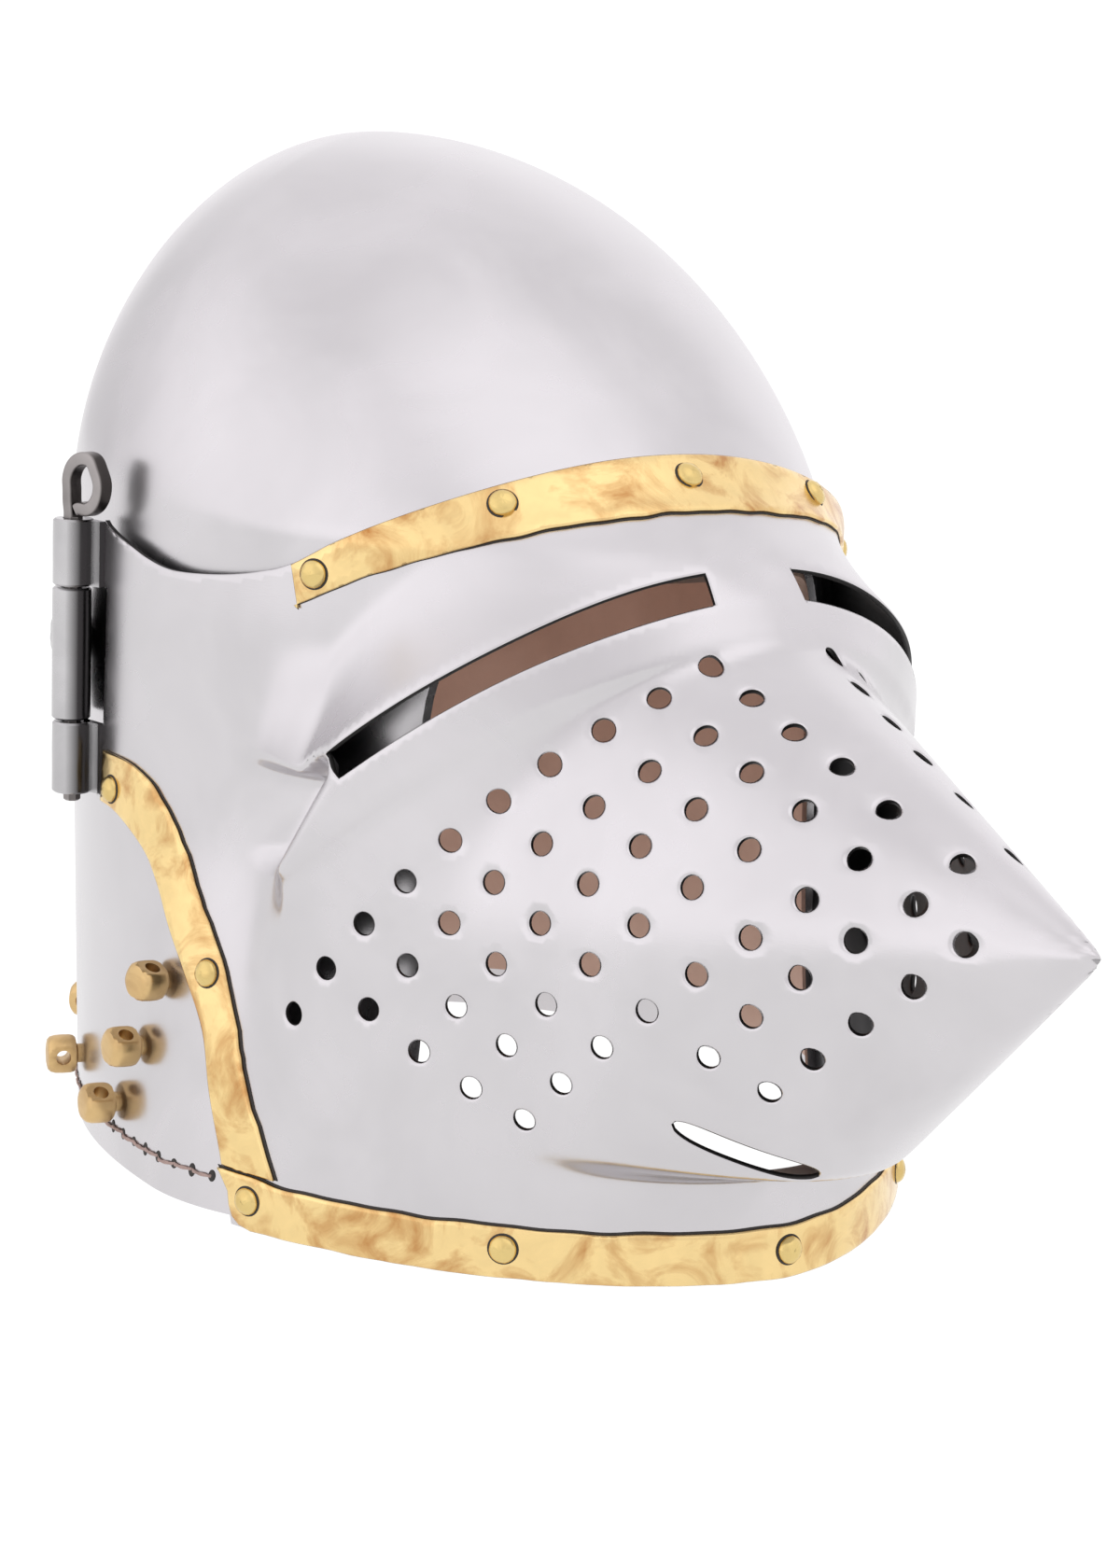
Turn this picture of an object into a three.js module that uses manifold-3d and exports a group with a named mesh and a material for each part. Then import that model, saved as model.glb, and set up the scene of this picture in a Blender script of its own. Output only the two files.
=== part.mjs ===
// Hounskull bascinet: a steel skull with a pointed, pierced visor hung on two pinned hinges.
// Millimetres, +Z up. The helmet faces -Y, the wearer's right is at -X, and the skull's rim stands at level 0.
// Shapes are worked out in a head frame, whose vertical axis passes through the widest place of the rim.
// A bearing is an angle round that axis, 0 at the front and positive towards either side.
import * as THREE from 'three';
import { mergeVertices } from 'three/addons/utils/BufferGeometryUtils.js';
import Module from 'manifold-3d';

const wasm = await Module();
wasm.setup();

const DEG = Math.PI / 180;

// Skull: stacked oval sections, straight up to the waist and closing above it
const SKULL = {
  height: 267,
  wall: 1.6,
  waist: 171,
  rimHalfWidth: 104,
  rimFront: 80,
  rimBack: 128,
  domeHalfWidth: 96,
  domeFront: 84,
  domeBack: 136.2,
  domeCentre: 35,
  apexBack: 70.5,
};

// Visor: its gap to the skull, its lower edge, the eye slots, the ledge under them and the snout
const VISOR = {
  wall: 1.6,
  gap: 2.2,
  lift: 0.8,
  chinReach: 130,
  chinHalfWidth: 107.8,
  slotLevel: 165,
  slotDrop: 48.2,
  slotEnd: 57.8,
  slotSlant: 3,
  slotStart: 7.2,
  slotHeight: 8.2,
  upperLipReach: 102,
  lowerLipReach: 107,
  creaseLevel: 152.5,
  creaseDrop: 61.7,
  creaseEnd: 62.6,
  creaseReach: 113,
  flare: 17,
  flareGrowth: 15,
  ledgeStart: 56,
  ledgeSlant: 8,
  ledgeBreadth: 5,
  snoutReach: 227,
  snoutLevel: 103,
  snoutTopSlope: 0.42,
  snoutBottomSlope: 0.97,
  snoutSideSlope: 0.5,
  foldLevel: 25,
  foldHeight: 9,
  templeRoom: 1.5,
  templeBearing: 80,
  templeBreadth: 22,
  templeLevel: 142,
  templeHeight: 22,
};

const HOLES = { diameter: 5.6, sides: 5 };
const MOUTH = { width: 5.4, startBearing: 4.5, endBearing: 16.8, startLevel: 35.1, endLevel: 46.3 };
const BAND = { width: 13, thickness: 1, seat: 0.3 };
const RIVET = { radius: 3.3, height: 1.9, seat: 0.3 };
const HINGE = {
  back: 45.5,
  outer: 105.3,
  radius: 4.6,
  bore: 2.75,
  pin: 2.4,
  top: 166,
  bottom: 94.5,
  middleTop: 148.5,
  middleBottom: 113.5,
  gap: 0.5,
  pinFoot: 2.4,
  eyeReach: 7.4,
  eyeBar: 4.4,
  eyeBand: 3.5,
  eyeHeight: 16.4,
  eyeForward: 4.6,
};
const ARM = {
  pivotBack: 68,
  pivotLevel: 131,
  thickness: 2,
  radius: 9,
  flat: 12,
  seat: 0.4,
  bore: 2.5,
  shank: 2.1,
  rivetRadius: 4.3,
  rivetHeight: 3.2,
};
const FACE = { bottomFront: 58, brow: 166, templeLevel: 128, templeFront: 55 };
const LINER = { thickness: 1.4, gap: 0.4, foot: 12, brow: 158, inset: 4 };
const VERVELLE = { size: 9.4, depth: 8.6, hole: 3.6, seat: 0.35 };
const THREAD = { level: 8.4, radius: 0.6, seat: 0.9, firstBearing: 79 };

// Side view of the visor's sheet, as shares of the visor's side height and of the hinge's place
const VISOR_TOP = [
  { back: 1.0, level: 1.0 },
  { back: 0.83, level: 0.985 },
  { back: 0.62, level: 0.971 },
  { back: 0.43, level: 0.958 },
  { back: 0.23, level: 0.949 },
  { back: 0.05, level: 0.948 },
  { back: -0.19, level: 0.952 },
  { back: -0.38, level: 0.958 },
  { back: -0.55, level: 0.967 },
  { back: -0.75, level: 0.984 },
  { back: -1.3, level: 1.065 },
  { back: -1.56, level: 1.113 },
  { back: -1.72, level: 1.143 },
  { back: -1.78, level: 1.157 },
];
const VISOR_REAR = [
  { back: 0.93, level: 0.567 },
  { back: 0.61, level: 0.557 },
  { back: 0.27, level: 0.519 },
  { back: 0.08, level: 0.474 },
  { back: -0.09, level: 0.418 },
  { back: -0.32, level: 0.352 },
  { back: -0.54, level: 0.281 },
  { back: -0.67, level: 0.197 },
  { back: -0.83, level: 0.094 },
  { back: -0.9, level: 0 },
];
const VISOR_SIDE = { level: 166, back: 40 };

// Rows of breath holes on each side: bearings in degrees, levels as shares of the snout's level
const HOLE_ROWS = [
  { count: 10, from: 9.4, to: 61.8, bow: 1.7, top: 1.433, foot: 0.552, sag: 0.073 },
  { count: 9, from: 7.4, to: 50.2, bow: 0.5, top: 1.381, foot: 0.6, sag: 0.045 },
  { count: 9, from: 6.0, to: 43.1, bow: 0.2, top: 1.326, foot: 0.519, sag: 0.045 },
  { count: 9, from: 4.5, to: 36.4, bow: 0.1, top: 1.274, foot: 0.451, sag: 0.036 },
  { count: 9, from: 3.8, to: 30.1, bow: -0.5, top: 1.208, foot: 0.395, sag: 0.014 },
  { count: 6, from: 2.3, to: 15.2, bow: 0.6, top: 1.13, foot: 0.631, sag: 0.019 },
  { count: 5, from: 3.9, to: 11.0, bow: 0.1, top: 0.981, foot: 0.57, sag: -0.007 },
];

// Side view of the brass trims, as shares of the visor's side height and of the hinge's place
const BROW_FOOT = [
  { back: -0.842, level: 0.91 },
  { back: -1.415, level: 0.995 },
  { back: -1.762, level: 1.052 },
  { back: -1.963, level: 1.082 },
  { back: -2.3, level: 1.13 },
];
const STRIP_FRONT = [
  { back: 0.855, level: 0.646 },
  { back: 0.52, level: 0.642 },
  { back: 0.283, level: 0.625 },
  { back: 0.133, level: 0.599 },
  { back: 0.008, level: 0.573 },
  { back: -0.145, level: 0.527 },
  { back: -0.313, level: 0.466 },
  { back: -0.518, level: 0.403 },
  { back: -0.768, level: 0.308 },
  { back: -0.918, level: 0.227 },
  { back: -1.178, level: 0.104 },
  { back: -1.35, level: 0 },
];
const CHIN_END = [
  { back: -0.95, level: 0 },
  { back: -0.85, level: 0.03 },
  { back: -0.82, level: 0.09 },
];

// Rivets of the trims: bearings in degrees, levels above the rim; each is repeated on the other side
const TRIM_RIVETS = {
  brow: [
    { bearing: 0, level: 186.4 },
    { bearing: 35.8, level: 180 },
    { bearing: 66, level: 161.3 },
  ],
  chin: [
    { bearing: 0, level: 7.6 },
    { bearing: 31.7, level: 8.1 },
    { bearing: 67, level: 8.4 },
  ],
  side: [
    { bearing: 105.3, level: 98.1 },
    { bearing: 78.7, level: 60.5 },
  ],
};

// Vervelles on each side, along the edge that the mail curtain hung from
const VERVELLES = [
  { bearing: 92.2, level: 53.1 },
  { bearing: 96.8, level: 33.8 },
  { bearing: 103.4, level: 15.3 },
  { bearing: 122.6, level: 17.6 },
  { bearing: 148, level: 17.6 },
];

const clamp = (x, low, high) => Math.min(Math.max(x, low), high);
const ease = (x) => {
  const t = clamp(x, 0, 1);
  return t * t * (3 - 2 * t);
};
const mix = (a, b, t) => a + (b - a) * t;

function smoothMax(a, b, width) {
  const h = clamp(0.5 + (0.5 * (a - b)) / width, 0, 1);
  return b + (a - b) * h + width * h * (1 - h);
}

// A positive number that is 0 where the smaller side of "inside" ends, found by halving
function outermost(isOutside, low, high) {
  for (let step = 0; step < 40; step += 1) {
    const middle = (low + high) / 2;
    if (isOutside(middle)) high = middle;
    else low = middle;
  }
  return (low + high) / 2;
}

// Half-widths, reaches and squareness of the skull's section at a level
function skullSection(level) {
  const above = level > SKULL.waist;
  const s = clamp((level - SKULL.waist) / (SKULL.height - SKULL.waist), 0, 1);
  const w = Math.sin((clamp(level / SKULL.waist, 0, 1) * Math.PI) / 2);
  const closing = (p, q) => (1 - s ** p) ** (1 / q);
  const apex = SKULL.apexBack;
  return {
    side: above ? SKULL.domeHalfWidth * closing(1.83, 1.95) : mix(SKULL.rimHalfWidth, SKULL.domeHalfWidth, w),
    front: above ? apex - (apex + SKULL.domeFront) * closing(1.01, 1.9) : -mix(SKULL.rimFront, SKULL.domeFront, w),
    back: above ? apex + (SKULL.domeBack - apex) * closing(2.38, 2.36) : mix(SKULL.rimBack, SKULL.domeBack, w),
    centre: above ? apex + (SKULL.domeCentre - apex) * Math.sqrt(1 - s * s) : SKULL.domeCentre * w,
    frontPower: above ? mix(1.9, 2, s) : 1.9,
    backPower: above ? mix(2.25, 2, s) : 2.25,
  };
}

// Distance from the axis to an oval's outline, grown by an offset, along a bearing in degrees
function ovalReach(oval, bearing, offset) {
  const sine = Math.sin(bearing * DEG);
  const cosine = Math.cos(bearing * DEG);
  return outermost((r) => {
    const y = -r * cosine - oval.centre;
    const length = (y < 0 ? oval.centre - oval.front : oval.back - oval.centre) + offset;
    const power = y < 0 ? oval.frontPower : oval.backPower;
    return (Math.abs(r * sine) / (oval.side + offset)) ** power + (Math.abs(y) / length) ** power > 1;
  }, 5, 300);
}

const skullReach = (bearing, level, offset = 0) => ovalReach(skullSection(level), bearing, offset);

// Lines along the visor: the middle of the eye slot, its half height, the crease under the ledge
const held = (bearing) => Math.min(Math.abs(bearing), VISOR.creaseEnd);
const slotMiddle = (bearing) => VISOR.slotLevel - VISOR.slotDrop * (held(bearing) / VISOR.slotEnd) ** 1.9;
const slotHalf = (bearing) => {
  return (VISOR.slotHeight / 2) * (1 - 0.22 * Math.exp(-((bearing / 14) ** 2)) + 0.12 * ease((bearing - 30) / 25));
};
const creaseLevel = (bearing) => VISOR.creaseLevel - VISOR.creaseDrop * (held(bearing) / VISOR.creaseEnd) ** 1.65;
const upperLip = (bearing) => VISOR.upperLipReach + 5.3 * ease((bearing - 8) / 42) - 2.5 * Math.exp(-((bearing / 5) ** 2));
const lowerLip = (bearing) => VISOR.lowerLipReach + 1.3 * Math.exp(-(((bearing - 45) / 16) ** 2));
const creaseReach = (bearing) => VISOR.creaseReach - 4.2 * ease(bearing / 36) - 2 * ease((bearing - 40) / 24);

function chinReach(bearing) {
  const oval = {
    side: VISOR.chinHalfWidth,
    front: -VISOR.chinReach,
    back: SKULL.rimBack + VISOR.chinHalfWidth - SKULL.rimHalfWidth,
    centre: 0,
    frontPower: 1.68,
    backPower: 2.25,
  };
  return ovalReach(oval, bearing, 0);
}

// The snout is a cone whose top, bottom and sides fall back from its tip at their own slopes
function coneReach(bearing, level) {
  const tilt = (VISOR.snoutTopSlope - VISOR.snoutBottomSlope) / 2;
  const opening = (VISOR.snoutTopSlope + VISOR.snoutBottomSlope) / 2;
  return outermost((r) => {
    const behind = VISOR.snoutReach - r * Math.cos(bearing * DEG);
    if (behind <= 0) return true;
    const across = (r * Math.sin(bearing * DEG)) / (VISOR.snoutSideSlope * behind);
    const rise = (level - VISOR.snoutLevel - tilt * behind) / (opening * behind);
    return across ** 2 + rise ** 2 > 1;
  }, 20, VISOR.snoutReach + 5);
}

// The plate above the slot bends outward over a height that grows towards the side
const flareHeight = (bearing) => VISOR.flare + VISOR.flareGrowth * ease(bearing / 50);

// How far the ledge under the slot still stands out: its end slants down and back to a tip
function ledgeShare(bearing, level) {
  const tip = creaseLevel(VISOR.creaseEnd);
  const corner = slotMiddle(VISOR.slotEnd);
  const slant = VISOR.ledgeSlant * (1 - clamp((level - tip) / (corner - tip), 0, 1));
  return 1 - ease((bearing - VISOR.ledgeStart - slant) / VISOR.ledgeBreadth);
}

// Outer face of the visor as a distance from the axis
function visorReach(signedBearing, level) {
  const bearing = Math.abs(signedBearing);
  const along = held(bearing);
  const clearance = VISOR.gap + VISOR.wall;
  const across = (bearing - VISOR.templeBearing) / VISOR.templeBreadth;
  const upward = (level - VISOR.templeLevel) / VISOR.templeHeight;
  const room = VISOR.templeRoom * Math.exp(-(across ** 2) - upward ** 2);
  const wallLine = skullReach(bearing, level, clearance) + room;
  const top = slotMiddle(along) + slotHalf(along);
  const bottom = slotMiddle(along) - slotHalf(along);
  const crease = creaseLevel(along);
  if (level >= top) {
    const u = clamp((level - top) / flareHeight(along), 0, 1);
    const stands = 1 - ease((bearing - 55) / 26);
    return wallLine + (upperLip(along) - skullReach(bearing, top, clearance)) * stands * (1 - u) ** 1.9;
  }
  const ledge = ledgeShare(bearing, level);
  const chin = chinReach(bearing);
  const side = mix(chin, wallLine, ease(level / 95));
  if (level >= crease) {
    const lip = mix(upperLip(along), lowerLip(along), clamp((top - level) / (top - bottom), 0, 1));
    const face = mix(lowerLip(along), creaseReach(along), clamp((bottom - level) / (bottom - crease), 0, 1));
    return mix(side, level >= bottom ? lip : face, ledge);
  }
  const cheekTop = creaseReach(along) - 1.2 - 1.8 * ease((bearing - 35) / 20);
  const belowCrease = clamp((crease - level) / 20, 0, 1);
  const stands = mix(ledge, 1 - ease((bearing - 57) / 16), belowCrease);
  const cheek = mix(side, mix(chin, cheekTop, clamp(level / crease, 0, 1)), stands);
  const snout = smoothMax(coneReach(Math.min(bearing, 80), level), cheek, 4);
  const above = ease((level - VISOR.foldLevel) / VISOR.foldHeight);
  return cheek + (snout - cheek) * above * (1 - ease((bearing - 62) / 14));
}

// Steepness of a surface that is given as a reach, so that a wall keeps its thickness on a slope
function steepness(reach, bearing, level) {
  const r = reach(bearing, level);
  const step = 1.5;
  const turns = [-step, step].map((d) => (reach(bearing + d, level) - r) / (r * step * DEG));
  const rises = [-step, step].map((d) => (reach(bearing, level + d) - r) / step);
  const turn = Math.max(...turns.map(Math.abs));
  const rise = Math.max(...rises.map(Math.abs));
  return Math.min(Math.sqrt(1 + turn * turn + rise * rise), 3);
}

const place = (bearing, reach, level) => {
  return [-reach * Math.sin(bearing * DEG), -reach * Math.cos(bearing * DEG), level];
};

// Solids and geometries
function toSolid(geometry) {
  const bare = geometry.clone();
  bare.deleteAttribute('normal');
  bare.deleteAttribute('uv');
  const merged = mergeVertices(bare, 1e-4);
  return new wasm.Manifold(new wasm.Mesh({
    numProp: 3,
    vertProperties: new Float32Array(merged.attributes.position.array),
    triVerts: new Uint32Array(merged.index.array),
  }));
}

function toGeometry(solid, fineness = 0.08) {
  const mesh = solid.simplify(fineness).getMesh();
  const geometry = new THREE.BufferGeometry();
  geometry.setAttribute('position', new THREE.BufferAttribute(new Float32Array(mesh.vertProperties), 3));
  geometry.setIndex(new THREE.BufferAttribute(new Uint32Array(mesh.triVerts), 1));
  geometry.computeVertexNormals();
  return geometry;
}

function fromPoints(points, triangles) {
  const geometry = new THREE.BufferGeometry();
  geometry.setAttribute('position', new THREE.BufferAttribute(new Float32Array(points.flat()), 3));
  geometry.setIndex(triangles.flat());
  return toSolid(geometry);
}

// A closed sheet from a grid: outer[i][j] and inner[i][j] are points, j runs upwards
function sheet(outer, inner) {
  const columns = outer.length;
  const rows = outer[0].length;
  const points = [...outer.flat(), ...inner.flat()];
  const at = (layer, i, j) => layer * columns * rows + i * rows + j;
  const triangles = [];
  const quad = (a, b, c, d) => triangles.push([a, b, c], [a, c, d]);
  for (let i = 0; i < columns - 1; i += 1) {
    for (let j = 0; j < rows - 1; j += 1) {
      quad(at(0, i, j), at(0, i + 1, j), at(0, i + 1, j + 1), at(0, i, j + 1));
      quad(at(1, i, j), at(1, i, j + 1), at(1, i + 1, j + 1), at(1, i + 1, j));
    }
    quad(at(0, i, 0), at(1, i, 0), at(1, i + 1, 0), at(0, i + 1, 0));
    quad(at(0, i, rows - 1), at(0, i + 1, rows - 1), at(1, i + 1, rows - 1), at(1, i, rows - 1));
  }
  for (let j = 0; j < rows - 1; j += 1) {
    quad(at(0, 0, j), at(0, 0, j + 1), at(1, 0, j + 1), at(1, 0, j));
    quad(at(0, columns - 1, j), at(1, columns - 1, j), at(1, columns - 1, j + 1), at(0, columns - 1, j + 1));
  }
  return fromPoints(points, triangles);
}

// A slab that keeps only what its side view covers: points are [y, z]
function sideSlab(points, halfWidth = 400) {
  const shape = new THREE.Shape(points.map(([y, z]) => new THREE.Vector2(y, z)));
  const geometry = new THREE.ExtrudeGeometry(shape, { depth: 2 * halfWidth, bevelEnabled: false });
  geometry.translate(0, 0, -halfWidth);
  const turn = new THREE.Matrix4().set(0, 0, 1, 0, 1, 0, 0, 0, 0, 1, 0, 0, 0, 0, 0, 1);
  geometry.applyMatrix4(turn);
  return toSolid(geometry);
}

// A closed body from rings of points, capped flat at both ends
function loft(rings) {
  const sides = rings[0].length;
  const triangles = [];
  for (let k = 0; k < rings.length - 1; k += 1) {
    for (let i = 0; i < sides; i += 1) {
      const next = (i + 1) % sides;
      const a = k * sides + i;
      const b = k * sides + next;
      triangles.push([a, b, b + sides], [a, b + sides, a + sides]);
    }
  }
  const last = (rings.length - 1) * sides;
  for (let i = 1; i < sides - 1; i += 1) {
    triangles.push([0, i + 1, i], [last, last + i, last + i + 1]);
  }
  return fromPoints(rings.flat(), triangles);
}

const lathe = (profile, sides) => {
  const points = profile.map(([radius, height]) => new THREE.Vector2(radius, height));
  return new THREE.LatheGeometry(points, sides);
};

// Position and outward direction of a reach surface
function frameAt(reach, bearing, level) {
  const at = (b, z) => new THREE.Vector3(...place(b, reach(b, z), z));
  const here = at(bearing, level);
  const turn = at(bearing + 0.6, level).sub(at(bearing - 0.6, level));
  const rise = at(bearing, level + 0.6).sub(at(bearing, level - 0.6));
  const out = new THREE.Vector3().crossVectors(rise, turn).normalize();
  if (out.dot(new THREE.Vector3(here.x, here.y, 0)) < 0) out.negate();
  return { here, out, rise: rise.normalize() };
}

// A turned profile stood on a surface, its axis along the outward direction
function standOn(geometry, reach, bearing, level, lift) {
  const { here, out } = frameAt(reach, bearing, level);
  const copy = geometry.clone();
  copy.applyQuaternion(new THREE.Quaternion().setFromUnitVectors(new THREE.Vector3(0, 1, 0), out));
  copy.translate(here.x + out.x * lift, here.y + out.y * lift, here.z + out.z * lift);
  return copy;
}

// Skull
function skullPoint(turn, level, inset) {
  const oval = skullSection(level);
  const c = Math.cos(turn);
  const s = Math.sin(turn);
  const power = 2 / (s > 0 ? oval.backPower : oval.frontPower);
  const length = Math.max((s > 0 ? oval.back - oval.centre : oval.centre - oval.front) - inset, 0);
  const width = Math.max(oval.side - inset, 0);
  return [
    width * Math.sign(c) * Math.abs(c) ** power,
    oval.centre + length * Math.sign(s) * Math.abs(s) ** power,
    level,
  ];
}

// Levels of the skull's rings, closer together towards the apex
const SKULL_RINGS = [0, 0.16, 0.34, 0.52, 0.68, 0.8, 0.88, 0.94, 0.98];

const SKULL_SIDES = 32;

function domeRings(inset, top) {
  return SKULL_RINGS.map((ring) => {
    const share = Math.sin((ring * Math.PI) / 2);
    return Array.from({ length: SKULL_SIDES }, (_, i) => {
      const [x, y] = skullPoint((i / SKULL_SIDES) * 2 * Math.PI, SKULL.height * share, inset);
      return [x, y, top * share];
    });
  });
}

// A dome with a wall: outer and inner rings joined at the rim and closed at the apex
function hollowDome(outerInset, innerInset) {
  const sides = SKULL_SIDES;
  const outerTop = SKULL.height - outerInset;
  const innerTop = SKULL.height - innerInset;
  const outer = domeRings(outerInset, outerTop);
  const inner = domeRings(innerInset, innerTop);
  const points = [...outer.flat(), ...inner.flat()];
  const rings = outer.length;
  const at = (layer, k, i) => layer * rings * sides + k * sides + (i % sides);
  const outerApex = points.push([0, SKULL.apexBack, outerTop]) - 1;
  const innerApex = points.push([0, SKULL.apexBack, innerTop]) - 1;
  const triangles = [];
  for (let i = 0; i < sides; i += 1) {
    for (let k = 0; k < rings - 1; k += 1) {
      triangles.push([at(0, k, i), at(0, k, i + 1), at(0, k + 1, i + 1)], [at(0, k, i), at(0, k + 1, i + 1), at(0, k + 1, i)]);
      triangles.push([at(1, k, i), at(1, k + 1, i + 1), at(1, k, i + 1)], [at(1, k, i), at(1, k + 1, i), at(1, k + 1, i + 1)]);
    }
    triangles.push([at(0, rings - 1, i), at(0, rings - 1, i + 1), outerApex]);
    triangles.push([at(1, rings - 1, i + 1), at(1, rings - 1, i), innerApex]);
    triangles.push([at(0, 0, i + 1), at(0, 0, i), at(1, 0, i)], [at(0, 0, i + 1), at(1, 0, i), at(1, 0, i + 1)]);
  }
  return fromPoints(points, triangles);
}

// Side view of what is cut away in front of the face; an inset moves the edge back
function faceOpening(inset) {
  const reach = 300;
  return sideSlab([
    [-reach, -20],
    [-FACE.bottomFront + inset, -20],
    [-FACE.bottomFront + inset, FACE.templeLevel * 0.6],
    [-FACE.templeFront + inset, FACE.templeLevel - inset],
    [-mix(FACE.templeFront, SKULL.domeFront, 0.35) + inset, mix(FACE.templeLevel, FACE.brow, 0.75) - inset],
    [-mix(FACE.templeFront, SKULL.domeFront, 0.75) + inset, FACE.brow - inset],
    [-reach, FACE.brow - inset],
  ]);
}

function makeSkull() {
  const shell = hollowDome(0, SKULL.wall);
  return toGeometry(shell.subtract(faceOpening(0)));
}

function makeLiner() {
  const outer = SKULL.wall + LINER.gap;
  const inner = outer + LINER.thickness;
  const below = sideSlab([[-400, -50], [400, -50], [400, LINER.foot], [-400, LINER.foot]]);
  return toGeometry(hollowDome(outer, inner).subtract(faceOpening(LINER.inset)).subtract(below));
}

// Visor outline in side view, from the shares above
const sidePoint = ({ back, level }) => [back * VISOR_SIDE.back, level * VISOR_SIDE.level];

function visorOutline() {
  const front = VISOR.snoutReach + 40;
  return [
    ...VISOR_REAR.map(sidePoint).reverse().map(([y, z]) => [y, Math.max(z, VISOR.lift)]),
    [VISOR_SIDE.back, VISOR_REAR[0].level * VISOR_SIDE.level],
    ...VISOR_TOP.map(sidePoint),
    [-front, VISOR_SIDE.level * 1.157],
    [-front, VISOR.lift],
  ];
}

// Levels of the visor's rows at a bearing: chin, fold, snout, crease, lips and brow
function visorRows(bearing) {
  const crease = creaseLevel(bearing);
  const middle = slotMiddle(bearing);
  const half = slotHalf(bearing);
  const foldTop = VISOR.foldLevel + VISOR.foldHeight;
  const tipShare = (VISOR.snoutLevel - foldTop) / (VISOR.creaseLevel - foldTop);
  const shares = [0, 0.35, 0.75, 1].map((share) => share * tipShare);
  const upper = [0.35, 0.7].map((share) => mix(tipShare, 1, share));
  const top = middle + half;
  return [
    0,
    VISOR.foldLevel,
    ...[...shares, ...upper].map((share) => mix(foldTop, crease, share)),
    crease - 5,
    crease,
    middle - half,
    top,
    top + flareHeight(bearing) * 0.3,
    top + flareHeight(bearing),
    ...[0.45, 0.8, 1].map((share) => mix(top + flareHeight(bearing), VISOR_SIDE.level * 1.21, share)),
  ];
}

const VISOR_BEARINGS = [0, 1.6, 5, 10, 16, 23, 31, 39, 47, 55, 59.5, 65.5, 74, 85, 98, 111.5];

function visorSheet(innerLift, outerLift) {
  const bearings = [...VISOR_BEARINGS.slice(1).reverse().map((b) => -b), ...VISOR_BEARINGS];
  const grid = (lift) => bearings.map((signed) => {
    const bearing = Math.abs(signed);
    return visorRows(bearing).map((level) => {
      const reach = visorReach(bearing, level) + lift * steepness(visorReach, bearing, level);
      return place(-signed, reach, level);
    });
  });
  return sheet(grid(outerLift), grid(innerLift));
}

// Points of the breath holes on the wearer's right
function holeCentres() {
  return HOLE_ROWS.flatMap((row) => Array.from({ length: row.count }, (_, i) => {
    const s = i / (row.count - 1);
    const bulge = 4 * s * (1 - s);
    return {
      bearing: mix(row.from, row.to, s) + row.bow * bulge,
      level: (mix(row.top, row.foot, s) + row.sag * bulge) * VISOR.snoutLevel,
    };
  }));
}

function holeCutters() {
  const plug = new THREE.CylinderGeometry(HOLES.diameter / 2, HOLES.diameter / 2, 12, HOLES.sides);
  const cutters = [];
  for (const { bearing, level } of holeCentres()) {
    for (const side of [-1, 1]) {
      cutters.push(toSolid(standOn(plug, visorReach, side * bearing, level, 0)));
    }
  }
  return wasm.Manifold.union(cutters);
}

// A cutter that follows a line on the visor: each ring crosses the wall at one bearing
function slotCutter(side, from, to, steps, middleAt, halfAt, slant = 0) {
  const rings = Array.from({ length: steps + 1 }, (_, k) => {
    const bearing = mix(from, to, k / steps);
    const middle = middleAt(bearing);
    const half = halfAt(bearing, k / steps);
    const reach = visorReach(bearing, middle);
    const corners = [[-9, -half], [9, -half], [9, half], [-9, half]];
    const ring = corners.map(([out, up]) => {
      const back = k === steps ? slant * (0.5 - (0.5 * up) / half) : 0;
      const rise = up + middleAt(bearing - back) - middleAt(bearing);
      return place(side * (bearing - back), reach + out, middle + rise);
    });
    return side > 0 ? ring : ring.reverse();
  });
  return loft(rings);
}

function slotCutters() {
  const mouthMiddle = (bearing) => {
    const share = (bearing - MOUTH.startBearing) / (MOUTH.endBearing - MOUTH.startBearing);
    return mix(MOUTH.startLevel, MOUTH.endLevel, share);
  };
  const mouthHalf = (_, share) => (MOUTH.width / 2) * Math.sqrt(Math.max(1 - (2 * share - 1) ** 4, 0.12));
  return wasm.Manifold.union([-1, 1].flatMap((side) => [
    slotCutter(
      side, VISOR.slotStart, VISOR.slotEnd, 5, slotMiddle, (bearing) => slotHalf(bearing) - 0.4, VISOR.slotSlant,
    ),
    slotCutter(side, MOUTH.startBearing, MOUTH.endBearing, 3, mouthMiddle, mouthHalf),
  ]));
}

// Hinge barrels stand beside the visor's rear edge
const hingeAt = (side) => ({ x: -side * HINGE.outer, y: HINGE.back });

function barrel(side, bottom, top) {
  const { x, y } = hingeAt(side);
  const profile = [[HINGE.bore, bottom], [HINGE.radius, bottom], [HINGE.radius, top], [HINGE.bore, top], [HINGE.bore, bottom]];
  const geometry = lathe(profile, 10);
  geometry.rotateX(Math.PI / 2);
  geometry.translate(x, y, 0);
  return toSolid(geometry);
}

// The visor's own leaf: a short tongue from its rear edge into each barrel
function tongue(side, bottom, top) {
  const { x, y } = hingeAt(side);
  const edgeY = VISOR_SIDE.back - 3;
  const level = (bottom + top) / 2;
  const bearing = 110;
  const edge = visorReach(bearing, level) * Math.sin(bearing * DEG);
  const inner = -side * (edge - VISOR.wall);
  const outer = -side * edge;
  const barrelInner = x + side * (HINGE.bore + 0.2);
  const barrelOuter = x - side * 0.2;
  const corners = [[inner, edgeY], [outer, edgeY], [barrelOuter, y - HINGE.bore - 0.5], [barrelInner, y - 1]];
  const ring = (z) => corners.map(([px, py]) => [px, py, z]);
  const rings = side > 0 ? [ring(top), ring(bottom)] : [ring(bottom), ring(top)];
  return loft(rings);
}

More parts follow.
